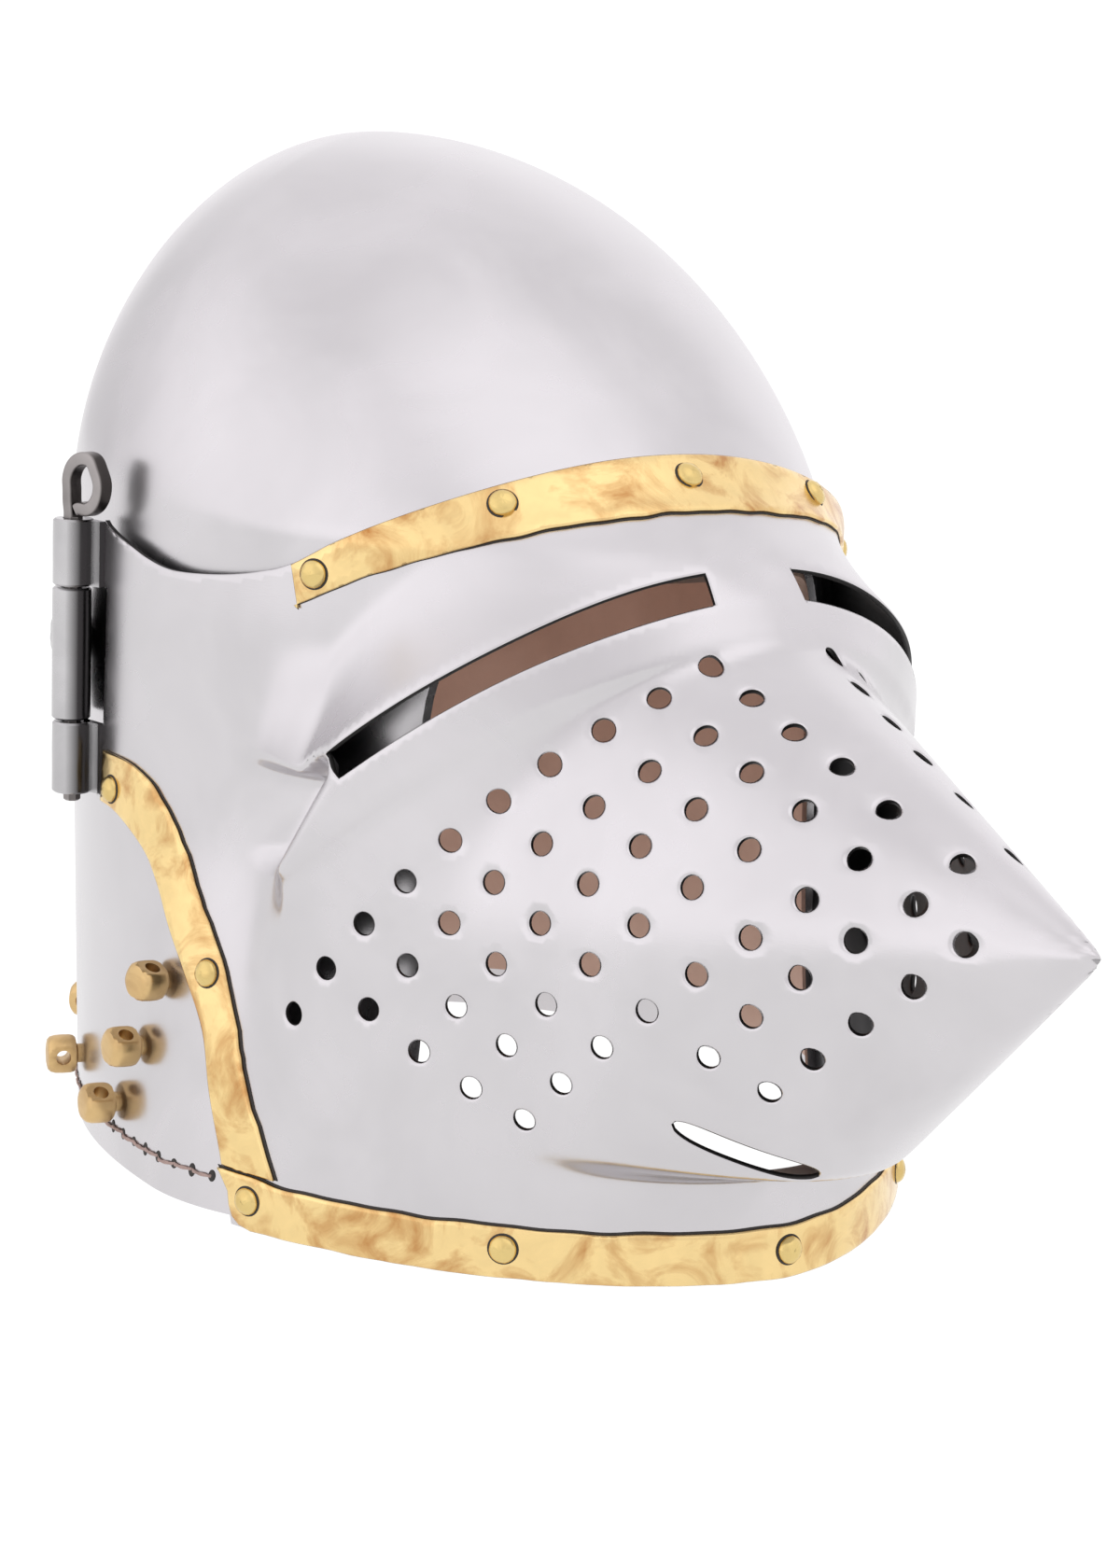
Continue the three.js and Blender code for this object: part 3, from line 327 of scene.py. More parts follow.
def to_param(side_points):
    """Bearings and levels of places that are given in side view on the visor's right half."""
    y = np.array([p[0] for p in side_points]) * HINGE.side_back
    z = np.array([p[1] for p in side_points]) * SIDE_HEIGHT

    def outside(bearing):
        return -visor.reach(bearing, z) * np.cos(bearing * DEG) > y

    b = halving(outside, np.zeros_like(y), np.full_like(y, 115.0))
    return np.stack([b, z], 1)


def flowing(points, per_span=8):
    """A smooth line through the points (Catmull-Rom)."""
    p = np.asarray(points, float)
    ends = np.vstack([2 * p[0] - p[1], p, 2 * p[-1] - p[-2]])
    out = []
    for k in range(len(p) - 1):
        a, b, c, d = ends[k : k + 4]
        square, cube = 2 * a - 5 * b + 4 * c - d, 3 * b - a - 3 * c + d
        for t in np.arange(per_span) / per_span:
            out.append(0.5 * (2 * b + (c - a) * t + square * t**2 + cube * t**3))
    out.append(p[-1])
    return np.array(out)


SCALE_U = 1.9  # millimetres of width per degree of bearing, so that the flat plan is nearly true


def evened(loop, spacing):
    """The same closed loop with points at an even spacing; corners stay."""
    out = []
    for a, b in zip(loop, np.roll(loop, -1, axis=0)):
        length = math.hypot((b[0] - a[0]) * SCALE_U, b[1] - a[1])
        count = max(1, int(round(length / spacing)))
        out += [a + (b - a) * (t / count) for t in range(count)]
    out = np.array(out)
    keep = [0]
    for k in range(1, len(out)):
        gap = out[k] - out[keep[-1]]
        if math.hypot(gap[0] * SCALE_U, gap[1]) > spacing * 0.35:
            keep.append(k)
    return out[keep]


def inside(points, loop):
    """Which points lie inside a closed loop."""
    near = ((points >= loop.min(0)) & (points <= loop.max(0))).all(1)
    x, y = points[near].T
    hit = np.zeros(len(x), bool)
    for (ax, ay), (bx, by) in zip(loop, np.roll(loop, -1, axis=0)):
        if ay != by:
            hit ^= ((ay > y) != (by > y)) & (x < (bx - ax) * (y - ay) / (by - ay) + ax)
    result = np.zeros(len(points), bool)
    result[near] = hit
    return result


def shrunk(loop, amount):
    """The loop moved inwards in the flat plan."""
    flat = loop * [SCALE_U, 1.0]
    before, after = np.roll(flat, 1, axis=0), np.roll(flat, -1, axis=0)
    along = after - before
    along /= np.maximum(np.linalg.norm(along, axis=1, keepdims=True), 1e-9)
    area = 0.5 * (flat[:, 0] * after[:, 1] - after[:, 0] * flat[:, 1]).sum()
    normal = np.stack([-along[:, 1], along[:, 0]], 1) * (1 if area > 0 else -1)
    return (flat + normal * amount) / [SCALE_U, 1.0]


def soften(obj, angle):
    mesh = obj.data
    mesh.polygons.foreach_set("use_smooth", [True] * len(mesh.polygons))
    mesh.set_sharp_from_angle(angle=angle * DEG)


def make_mesh(name, points, faces, materials, body=None, slot=None, angle=180, parts=None):
    """A piece from points in millimetres; edges steeper than angle stay sharp.

    parts gives each face its number in materials."""
    mesh = bpy.data.meshes.new(name)
    p = (np.asarray(points, float) + [0.0, SHIFT, 0.0]) / 1000.0
    mesh.from_pydata(p.tolist(), [], faces)
    mesh.validate()
    obj = bpy.data.objects.new(name, mesh)
    bpy.context.scene.collection.objects.link(obj)
    soften(obj, angle)
    for material in materials:
        mesh.materials.append(material)
    if parts is not None:
        mesh.polygons.foreach_set("material_index", parts)
    if body:
        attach(obj, body)
    return obj


def ring_faces(rings, count):
    """Faces of a closed bar that is given as rings of count points each, with both ends capped."""
    faces = []
    for k in range(rings - 1):
        for i in range(count):
            j = (i + 1) % count
            faces.append((k * count + i, k * count + j, (k + 1) * count + j, (k + 1) * count + i))
    last = (rings - 1) * count
    return faces + [tuple(range(count))[::-1], tuple(range(last, last + count))]


def sheet(name, outline, openings, out, thick, materials, slot, spacing, fine=None, soft=0.28):
    """A curved sheet with openings: triangles over the flat plan, bent onto the visor's surface.

    out is how far its outer face stands off the surface; soft rounds its edges. Three materials
    are those of the outer face, the inner face and the edges."""

    def within(points):
        keep = inside(points, outline)
        for hole in openings:
            keep &= ~inside(points, hole)
        return keep

    loops = [outline] + openings
    rims = [shrunk(outline, soft * 1.7)] + [shrunk(hole, -soft * 1.7) for hole in openings]
    edges, start = [], 0
    for loop in loops:
        edges += [(start + k, start + (k + 1) % len(loop)) for k in range(len(loop))]
        start += len(loop)
    fixed = np.concatenate(loops + rims)
    low, high = outline.min(0), outline.max(0)
    grid = []
    step_u, row = spacing / SCALE_U, 0
    for z in np.arange(low[1], high[1], spacing * 0.87):
        row += 1
        u = np.arange(low[0] + (row % 2) * step_u / 2, high[0], step_u)
        grid.append(np.stack([u, np.full_like(u, z)], 1))
    grid = np.concatenate(grid)
    if fine is not None:
        grid = np.concatenate([grid, fine])
    grid = grid[within(grid)]
    tree = KDTree(len(fixed))
    for k, (b, z) in enumerate(fixed):
        tree.insert((b * SCALE_U, z, 0), k)
    tree.balance()
    clear = spacing * 0.45
    grid = np.array([g for g in grid if tree.find((g[0] * SCALE_U, g[1], 0))[2] > clear]).reshape(-1, 2)
    plan = np.concatenate([fixed, grid]) * [SCALE_U, 1.0]
    made = delaunay_2d_cdt([Vector(p) for p in plan], edges, [], 0, 1e-5)
    flat = np.array([tuple(v) for v in made[0]]) / [SCALE_U, 1.0]
    tris = np.array(made[2])
    tris = tris[within(flat[tris].mean(1))]
    used = np.unique(tris)
    index = np.full(len(flat), -1)
    index[used] = np.arange(len(used))
    tris, flat = index[tris], flat[used]
    a, b, c = flat[tris[:, 0]], flat[tris[:, 1]], flat[tris[:, 2]]
    turn = (b[:, 0] - a[:, 0]) * (c[:, 1] - a[:, 1]) - (b[:, 1] - a[:, 1]) * (c[:, 0] - a[:, 0])
    tris[turn > 0] = tris[turn > 0][:, ::-1]
    place, normal, _ = visor.frame_at(flat[:, 0], flat[:, 1])
    sides = np.concatenate([tris[:, [0, 1]], tris[:, [1, 2]], tris[:, [2, 0]]])
    key = np.sort(sides, 1)
    _, first, count = np.unique(key, axis=0, return_index=True, return_counts=True)
    border = sides[first[count == 1]]
    at_border = np.zeros(len(flat), bool)
    at_border[border.ravel()] = True
    outer = place + normal * (out - soft * at_border)[:, None]
    inner = place + normal * (out - thick + soft * 0.5 * at_border)[:, None]
    n = len(flat)
    faces = tris.tolist() + (tris[:, ::-1] + n).tolist()
    faces += [(int(j), int(i), int(i) + n, int(j) + n) for i, j in border]
    parts = None
    if len(materials) == 3:
        near_tip = np.exp(-((flat[:, 0] / 6) ** 2) - ((flat[:, 1] - VISOR.snout_level) / 7) ** 2)
        inner += (place - inner) * 0.6 * near_tip[:, None] + near_tip[:, None] * [0, 3.5, 0]
        parts = [0] * len(tris) + [1] * len(tris) + [2] * len(border)
    return make_mesh(name, np.concatenate([outer, inner]), faces, materials, "visor_unit", slot, parts=parts)


# Materials
def feed(tree, node, inputs):
    """Gives a node's inputs, by name or number, their values or the sockets that feed them."""
    for key, value in inputs.items():
        if isinstance(value, bpy.types.NodeSocket):
            tree.links.new(value, node.inputs[key])
        else:
            node.inputs[key].default_value = value
    return node


def add_node(tree, kind, inputs, **settings):
    node = tree.nodes.new("ShaderNode" + kind)
    for key, value in settings.items():
        setattr(node, key, value)
    return feed(tree, node, inputs)


def new_material(name):
    material = bpy.data.materials.new(name)
    material.use_nodes = True
    return material, material.node_tree, material.node_tree.nodes["Principled BSDF"]


def coordinates(tree, scale=(1, 1, 1)):
    source = add_node(tree, "TexCoord", {}).outputs["Object"]
    return add_node(tree, "Mapping", {"Vector": source, "Scale": scale}).outputs["Vector"]


def noise(tree, vector, scale, detail=4.0, roughness=0.5, distortion=0.0):
    inputs = {"Scale": scale, "Detail": detail, "Roughness": roughness, "Distortion": distortion}
    return add_node(tree, "TexNoise", {"Vector": vector, **inputs}).outputs["Fac"]


def ramp(tree, source, stops):
    node = add_node(tree, "ValToRGB", {"Fac": source})
    for element, (place, colour) in zip(node.color_ramp.elements, stops):
        element.position = place
        element.color = (*colour, 1.0)
    return node.outputs["Color"]


def spread(tree, source, low, high, from_low=0.3, from_high=0.7):
    inputs = {"Value": source, "From Min": from_low, "From Max": from_high, "To Min": low, "To Max": high}
    return add_node(tree, "MapRange", inputs).outputs["Result"]


def blend(tree, factor, first, second):
    inputs = {"Factor": factor, "A": first, "B": (*second, 1)}
    return add_node(tree, "Mix", inputs, data_type="RGBA").outputs["Result"]


def bump(tree, shader, layers):
    """Adds bumps from (height source, strength, distance in metres), coarse first."""
    below = {}
    for source, strength, distance in layers:
        node = add_node(tree, "Bump", {"Height": source, "Strength": strength, "Distance": distance, **below})
        below = {"Normal": node.outputs["Normal"]}
    feed(tree, shader, below)


def inner_side(tree):
    """1 where a face looks inward and forward to the visor's plate, 0 where it looks outward: the mask of the
    painted shade and painted reflection on hinge and pin faces that look inward.
    """
    source = add_node(tree, "TexCoord", {})
    normal = add_node(tree, "SeparateXYZ", {"Vector": source.outputs["Normal"]}).outputs
    place = add_node(tree, "SeparateXYZ", {"Vector": source.outputs["Object"]}).outputs
    sign = add_node(tree, "Math", {0: place["X"]}, operation="SIGN").outputs["Value"]
    inward = add_node(tree, "Math", {0: sign, 1: normal["X"]}, operation="MULTIPLY").outputs["Value"]
    facing = add_node(tree, "Math", {0: normal["Y"], 1: 0.8, 2: inward}, operation="MULTIPLY_ADD")
    return spread(tree, facing.outputs["Value"], 1.0, 0.0, -0.7, 0.15)


def steel_material(name, colour, rough, mottle, painted_shade=None):
    material, tree, shader = new_material(name)
    plain = coordinates(tree)
    clouds = noise(tree, plain, 22, 5, 0.55, 0.4)
    grain = noise(tree, coordinates(tree, (1, 1, 9)), 420, 3, 0.6)
    hammer = noise(tree, plain, 14, 2, 0.4)
    dark = tuple(c * (1 - 0.07 * mottle) for c in colour)
    tint = ramp(tree, clouds, [(0.32, dark), (0.68, colour)])
    # Faces that look inward get a near-black tint: painted shade and a painted reflection of the dark gap
    # beside the visor's plate.
    if painted_shade is not None:
        tint = blend(tree, inner_side(tree), tint, painted_shade)
    roughness = spread(tree, clouds, rough * 0.75, rough * 1.3)
    feed(tree, shader, {"Base Color": tint, "Metallic": 1.0, "Roughness": roughness})
    bump(tree, shader, [(hammer, 0.2, 0.0011), (grain, 0.10, 0.00006)])
    return material


def brass_material(name, colour, stain, rough, stained):
    material, tree, shader = new_material(name)
    plain = coordinates(tree)
    clouds = noise(tree, plain, 60, 6, 0.6, 1.2)
    spots = noise(tree, plain, 170, 4, 0.6, 0.5)
    hammer = noise(tree, plain, 120, 2, 0.4)
    light = ramp(tree, spots, [(0.35, tuple(c * 0.93 for c in colour)), (0.65, colour)])
    tint = blend(tree, spread(tree, clouds, 0.0, stained, 0.46, 0.72), light, stain)
    roughness = spread(tree, clouds, rough, rough * 1.6)
    feed(tree, shader, {"Base Color": tint, "Metallic": 1.0, "Roughness": roughness})
    bump(tree, shader, [(hammer, 0.35, 0.0005)])
    return material


def leather_material():
    material, tree, shader = new_material("leather")
    plain = coordinates(tree)
    clouds = noise(tree, plain, 30, 5, 0.6)
    pores = noise(tree, plain, 900, 4, 0.7)
    tint = ramp(tree, clouds, [(0.3, (0.56, 0.375, 0.295)), (0.7, (0.70, 0.49, 0.40))])
    feed(tree, shader, {"Base Color": tint, "Roughness": 0.62})
    bump(tree, shader, [(clouds, 0.3, 0.001), (pores, 0.3, 0.0002)])
    return material


def plain_material(name, colour, rough):
    material, tree, shader = new_material(name)
    spots = noise(tree, coordinates(tree), 300, 4, 0.6)
    tint = ramp(tree, spots, [(0.3, tuple(c * 0.7 for c in colour)), (0.7, colour)])
    feed(tree, shader, {"Base Color": tint, "Roughness": rough, "Metallic": 0.0})
    bump(tree, shader, [(spots, 0.4, 0.0002)])
    return material


STEEL = steel_material("polished steel", (0.625, 0.605, 0.622), 0.24, 1.5)
INNER_STEEL = steel_material("inside of the plate", (0.10, 0.098, 0.10), 0.5, 3.0)
# Cut edges and hole walls are near black: partly the edges' own blackening, partly painted shade inside the
# holes.
EDGE_STEEL = steel_material("cut edges", (0.045, 0.043, 0.043), 0.55, 3.0)
# Hinge and forged steel are painted darker on faces that look inward: painted shade and painted reflection.
HINGE_STEEL = steel_material("hinge steel", (0.56, 0.55, 0.56), 0.24, 4.0, painted_shade=(0.06, 0.057, 0.058))
DARK_STEEL = steel_material("forged steel", (0.36, 0.335, 0.33), 0.34, 7.0, painted_shade=(0.07, 0.063, 0.06))
BRASS = brass_material("polished brass", (0.86, 0.64, 0.30), (0.44, 0.185, 0.05), 0.15, 0.95)
RIVET_BRASS = brass_material("rivet brass", (0.74, 0.56, 0.23), (0.45, 0.27, 0.09), 0.18, 0.4)
OLD_BRASS = brass_material("worn brass", (0.66, 0.46, 0.22), (0.34, 0.19, 0.08), 0.3, 0.4)
LEATHER = leather_material()
THREAD = plain_material("thread", (0.42, 0.30, 0.27), 0.85)
# Near black: painted shade in gaps, round rivet feet and in stitch holes, with some dirt.
SHADE_AND_GRIME = plain_material("shade_and_grime", (0.035, 0.03, 0.028), 0.75)


# Skull and lining
def dome_points(inset, sides=208, rings=120):
    share = np.sin(np.linspace(0, 0.995, rings) * math.pi / 2)
    level = SKULL.height * share
    side, front, back, centre, front_power, back_power = skull_section(level)
    turn = np.arange(sides) / sides * 2 * math.pi
    c, s = np.cos(turn)[None, :], np.sin(turn)[None, :]
    power = 2 / np.where(s > 0, back_power[:, None], front_power[:, None])
    length = np.maximum(np.where(s > 0, (back - centre)[:, None], (centre - front)[:, None]) - inset, 0.05)
    width = np.maximum(side - inset, 0.05)[:, None]
    x = width * np.sign(c) * np.abs(c) ** power
    y = centre[:, None] + length * np.sign(s) * np.abs(s) ** power
    z = np.broadcast_to(((SKULL.height - inset) * share)[:, None], x.shape)
    return np.stack([x, y, z], -1)


def dome(name, outer_inset, inner_inset, foot, cut, material, body):
    outer, inner = dome_points(outer_inset), dome_points(inner_inset)
    if foot:
        start = int(np.argmax(outer[1:, 0, 2] > foot + 0.5))
        outer, inner = outer[start:], inner[start:]
        outer[0, :, 2] = inner[0, :, 2] = foot
    rings, sides = outer.shape[:2]
    apexes = [[0, SKULL.apex, SKULL.height - inset] for inset in (outer_inset, inner_inset)]
    points = np.concatenate([outer.reshape(-1, 3), inner.reshape(-1, 3), apexes])
    count, top = rings * sides, (rings - 1) * sides
    pairs = [(i, (i + 1) % sides) for i in range(sides)]
    faces = []
    for low in range(0, top, sides):
        for i, j in pairs:
            a, b, c, d = low + i, low + j, low + sides + j, low + sides + i
            faces += [(a, b, c, d), (count + d, count + c, count + b, count + a)]
    for i, j in pairs:
        faces += [(top + i, top + j, 2 * count), (count + top + j, count + top + i, 2 * count + 1)]
        faces.append((j, i, count + i, count + j))
    obj = make_mesh(name, points, faces, [material])
    turn_outwards(obj)
    carve(obj, make_mesh(name + "_opening", *side_slab(cut, 300), [material]), 40)
    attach(obj, body)
    return obj


def side_slab(points, half):
    """Corners and faces of a slab whose side view is given as (y, z) in millimetres."""
    n = len(points)
    corners = [[-half, y, z] for y, z in points] + [[half, y, z] for y, z in points]
    faces = [tuple(range(n)), tuple(range(2 * n - 1, n - 1, -1))]
    faces += [(k, n + k, n + (k + 1) % n, (k + 1) % n) for k in range(n)]
    return corners, faces


def turn_outwards(obj):
    bm = bmesh.new()
    bm.from_mesh(obj.data)
    bmesh.ops.recalc_face_normals(bm, faces=bm.faces)
    bm.to_mesh(obj.data)
    bm.free()


def carve(obj, knife, angle, bevel=0.0):
    """Cuts the knife out of the object and rounds its edges by the bevel, in millimetres."""
    turn_outwards(knife)
    cut = obj.modifiers.new("cut", "BOOLEAN")
    cut.operation, cut.object, cut.solver = "DIFFERENCE", knife, "EXACT"
    if bevel:
        edges = obj.modifiers.new("edges", "BEVEL")
        edges.width, edges.segments, edges.angle_limit = bevel / 1000, 2, 38 * DEG
    bpy.context.view_layer.update()
    shown = obj.evaluated_get(bpy.context.evaluated_depsgraph_get())
    mesh = bpy.data.meshes.new_from_object(shown)
    obj.modifiers.clear()
    obj.data = mesh
    bpy.data.objects.remove(knife)
    soften(obj, angle)


def face_cut(inset):
    """Side view of the face opening, with its rear and upper edges moved in by inset."""
    ahead, below, temple, brow = 320, -20, FACE.temple - inset, FACE.brow - inset
    line = [(FACE.bottom, below), (FACE.bottom, 60), (FACE.temple_front + 1.5, 96)]
    line.append((FACE.temple_front, temple))
    for share, level in ((0.14, temple + 19), (0.42, temple + 33), (0.8, brow)):
        line.append((mix(FACE.temple_front, SKULL.dome_front, share), level))
    line = flowing([(inset - front, level) for front, level in line], 5).tolist()
    return [(-ahead, below)] + line + [(-ahead, brow)]


skull_piece = dome("skull_bowl", 0.0, SKULL.wall, 0, face_cut(0), STEEL, "skull_shell")
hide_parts("skull")
liner_piece = dome("leather_lining", 2.0, 3.4, 12.0, face_cut(4), LEATHER, "skull_shell")
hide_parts("liner")


# Visor
def mirrored(loop):
    return (loop * [-1, 1])[::-1]


def hole_loops():
    loops = []
    turn = np.arange(22) / 22 * 2 * math.pi
    for count, first, last, bow, top, foot, sag in HOLE_ROWS:
        s = np.arange(count) / (count - 1)
        bearing = mix(first, last, s) + bow * 4 * s * (1 - s)
        level = mix(top, foot, s) + sag * 4 * s * (1 - s)
        place, out, rise = visor.frame_at(bearing, level)
        across = np.cross(out, rise)
        for k in range(count):
            circle = place[k] + HOLE_RADIUS * (
                np.cos(turn)[:, None] * across[k] + np.sin(turn)[:, None] * rise[k]
            )
            b = np.arctan2(-circle[:, 0], -circle[:, 1]) / DEG
            loop = np.stack([b, circle[:, 2]], 1)
            loops += [loop, mirrored(loop)]
    return loops


def eye_loop():
    b = np.linspace(VISOR.slot_start, VISOR.slot_end, 46)
    foot = np.linspace(VISOR.slot_start, VISOR.slot_end - VISOR.slot_slant, 46)
    top = np.stack([b, slot_middle(b) + slot_half(b)], 1)
    low = np.stack([foot, slot_middle(foot) - slot_half(foot)], 1)[::-1]
    return np.concatenate([top, low])


def mouth_loop():
    s = np.linspace(0, 1, 40)
    b = mix(MOUTH.start, MOUTH.end, s)
    middle = mix(MOUTH.low, MOUTH.high, s) - 0.6 * 4 * s * (1 - s)
    half = MOUTH.width / 2 * (1 - np.abs(2 * s - 1) ** 5) ** 0.5
    top = np.stack([b, middle + half], 1)[1:-1]
    low = np.stack([b, middle - half], 1)[::-1]
    return np.concatenate([top, low])


top_line = flowing(to_param(VISOR_TOP), 6)
top_line[0, 0] = REAR_EDGE
top_side = np.concatenate([top_line, [[0.0, BROW.top - 0.2]]])
rear_line = flowing(to_param(VISOR_REAR), 6)
rear_line[:, 1] = np.maximum(rear_line[:, 1], VISOR.lift)


def brow_top(b):
    order = np.argsort(top_side[:, 0])
    edge = np.interp(np.abs(b), top_side[order, 0], top_side[order, 1])
    curve = BROW.top - BROW.top_fall * (np.abs(b) / BROW.top_breadth) ** 2.1
    front = np.clip((70 - np.abs(b)) / 6, 0, 1)
    return mix(edge, curve, front)


def visor_outline():
    b_top = np.linspace(0, REAR_EDGE, 150)
    top = np.stack([b_top, brow_top(b_top)], 1)
    high, low = HINGE.middle_top + 0.6, HINGE.middle_bottom - 0.6
    notch = [[REAR_EDGE, high], [NOTCH_EDGE, high], [NOTCH_EDGE, low], [REAR_EDGE, low]]
    notch += [[REAR_EDGE, 94.2], [NOTCH_EDGE, 94.15]]
    bottom_b = rear_line[-1, 0]
    right = np.concatenate([top, notch, rear_line[1:], [[bottom_b * 0.5, VISOR.lift]]])
    left = mirrored(right)[:-1]
    return evened(np.concatenate([right, [[0, VISOR.lift]], left]), 1.5)


# Finer points round the snout's ridge
fine_u, fine_v = np.meshgrid(np.arange(-26, 26, 0.42), np.arange(34, 150, 1.5))
fine_grid = np.stack([fine_u.ravel(), fine_v.ravel()], 1)
eye, mouth = evened(eye_loop(), 1.2), evened(mouth_loop(), 0.8)
openings = hole_loops() + [eye, mirrored(eye), mouth, mirrored(mouth)]
visor_piece = sheet(
    "visor_plate", visor_outline(), openings, 0.0, VISOR.wall, [STEEL, INNER_STEEL, EDGE_STEEL], "steel",
    1.6, fine_grid,
)
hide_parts("visor")


# Brass trims
def wavy(b, seed, amount=0.17):
    """The uneven edge of a strip that was cut by hand."""
    rates = (0.11, 0.23, 0.37, 0.61, 0.9)
    phases = np.random.default_rng(seed).uniform(0, 2 * math.pi, len(rates))
    return amount * sum(np.sin(b * rate + phase) for rate, phase in zip(rates, phases)) / 2.2


def brow_loop(grow=0.0):
    end = BROW.end + grow / SCALE_U
    b = np.linspace(-end, end, 150)
    top = np.stack([b, brow_top(b) - 0.35], 1)
    curve = BROW.foot - BROW.foot_fall * (np.abs(b) / BROW.foot_breadth) ** 2.05
    low = np.stack([b, curve + wavy(b, 3) - grow], 1)[::-1]
    low[0, 0] -= 1.6
    low[-1, 0] += 1.6
    return evened(np.concatenate([top, low]), 1.3)


def chin_loop(grow=0.0):
    end = CHIN.end + grow / SCALE_U
    b = np.linspace(-end, end, 150)
    top = np.stack([b, CHIN.top + wavy(b, 8, 0.22) + 1.6 * ease((np.abs(b) - 60) / 12) + grow], 1)
    right = np.array([(70.5, 9.5), (70.2, 6.0), (69.6, 3.4), (68.4, 1.7), (66.4, CHIN.foot)])
    low_b = np.linspace(64, -64, 90)
    low = np.stack([low_b, CHIN.foot + np.abs(wavy(low_b, 5, 0.15))], 1)
    return evened(np.concatenate([top, right, low, mirrored(right)]), 1.3)


strip_front = flowing(to_param(STRIP_FRONT), 6)


def strip_loop(side, grow=0.0):
    front = strip_front.copy()
    front[:, 0] -= grow / SCALE_U
    front = front[front[:, 1] > 13.4]
    rear = rear_line[rear_line[:, 1] > 14.4].copy()
    rear[:, 0] = np.minimum(rear[:, 0], STRIP_EDGE)
    front[0, 0] = min(front[0, 0], STRIP_EDGE)
    front[:, 0] += wavy(front[:, 1] * 1.4, 11, 0.12) * (front[:, 0] < 100)
    loop = np.concatenate([front, rear[::-1]])
    loop = loop if side > 0 else mirrored(loop)
    return evened(loop, 1.3)


def trim(name, loop, shade_and_dirt_loop, node, out=1.25):
    """A brass strip and the dark line round its edge: painted shadow of the gap at the strip's edge, with
    polishing dirt.
    """
    piece = sheet(name, loop, [], out, out - 0.06, [BRASS], "brass", 1.8, soft=0.25)
    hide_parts(node)
    # The near-black sheet that shows past the strip's edge is painted shadow of the gap, with some dirt.
    sheet(name + "_grime", shade_and_dirt_loop, [], 0.22, 0.2, [SHADE_AND_GRIME], "dark_steel", 2.2, soft=0.05)


trim("brow_trim", brow_loop(), brow_loop(0.25), "brow_band")
trim("chin_trim", chin_loop(), chin_loop(0.55), "chin_band")
for word, side in SIDES:
    trim(f"{word}_trim", strip_loop(side), strip_loop(side, 0.75), f"side_strip_{word}")


# Turned pieces
def turned(profile, sides):
    """Points and faces of a profile of (radius, height) turned round the height axis."""
    turn = np.arange(sides) / sides * 2 * math.pi
    points = [[r * math.cos(t), r * math.sin(t), h] for r, h in profile for t in turn]
    return np.array(points), ring_faces(len(profile), sides)


def spot_on(surface, bearing, level):
    """Point, outward direction and rising direction at one place on a surface."""
    return (a[0] for a in surface.frame_at(np.array([float(bearing)]), np.array([float(level)])))


def standing(points, place, out, rise):
    """Moves points from a frame whose height axis is out to a place on a surface."""
    across = np.cross(rise, out)
    across /= np.linalg.norm(across)
    up = np.cross(out, across)
    return place + points[:, :1] * across + points[:, 1:2] * up + points[:, 2:3] * out


def dome_profile(radius, height, steps=7):
    angle = np.linspace(0, math.pi / 2, steps)[:-1]
    rim, flat = 0.35, 0.05
    curve = [(radius * math.cos(a), rim + (height - rim) * math.sin(a)) for a in angle]
    return [(radius * 0.99, 0.0)] + curve + [(radius * flat, height)]


def rivet(name, side, bearing, level, node):
    """A domed head on a trim, slightly uneven, with a near-black ring round its foot: painted contact shade,
    with some dirt.
    """
    place, out, rise = spot_on(visor, side * bearing, level)
    radius, lift = RIVET.radius, RIVET.seat
    points, faces = turned(dome_profile(radius, RIVET.height), 28)
    points += np.random.default_rng(int(bearing * 10 + level)).normal(0, 0.035, points.shape)
    points = standing(points, place + out * lift, out, rise)
    head = make_mesh(name, points, faces, [RIVET_BRASS], "visor_unit", "brass", 50)
    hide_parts(node)
    # The near-black ring is painted contact shade at the rivet's foot, with some dirt.
    ring, faces = turned([(radius + 0.45, 0.0), (radius + 0.4, 0.12), (0.5, 0.14)], 28)
    ring = standing(ring, place + out * (lift - 0.02), out, rise)
    make_mesh(name + "_grime", ring, faces, [SHADE_AND_GRIME], "visor_unit", "dark_steel")


for row, spots in (("brow", BROW_RIVETS), ("chin", CHIN_RIVETS), ("side", SIDE_RIVETS)):
    for k, (bearing, level) in enumerate(spots):
        if bearing == 0:
            rivet(f"{row}_stud_middle", 1, bearing, level, f"{row}_rivet_middle")
            continue
        for word, side in SIDES:
            rivet(f"{row}_stud_{word}_{k + 1}", side, bearing, level, f"{row}_rivet_{word}_{k + 1}")


# Hinges
def tube(name, profile, x, y, material, body, sides=40, angle=35):
    points, faces = turned(profile, sides)
    return make_mesh(name, points + [x, y, 0.0], faces, [material], body, "dark_steel", angle)


def barrel_profile(low, high, radius, bore=2.6):
    soft = 0.5
    return [
        (bore, low + 3.0), (bore, low + 0.3), (bore + 0.3, low), (radius - soft, low), (radius, low + soft),
        (radius, mix(low, high, 0.33)), (radius + 0.05, mix(low, high, 0.66)), (radius, high - soft),
        (radius - soft, high), (bore + 0.3, high), (bore, high - 0.3), (bore, high - 3.0),
    ]


def leaf(name, side, low, high):
    """The end of the visor's plate, rolled into a knuckle."""
    plan = [(99.7, 38.4), (101.45, 38.4), (102.2, 40.6), (103.6, 42.0), (104.2, 46.5)]
    plan += [(100.75, 46.5), (100.3, 43.0)]
    points = [[-side * x, y, z] for z in (low, high) for x, y in plan]
    faces = ring_faces(2, len(plan))
    if side > 0:
        faces = [f[::-1] for f in faces]
    make_mesh(name, points, faces, [HINGE_STEEL], "visor_unit", "steel", 35)


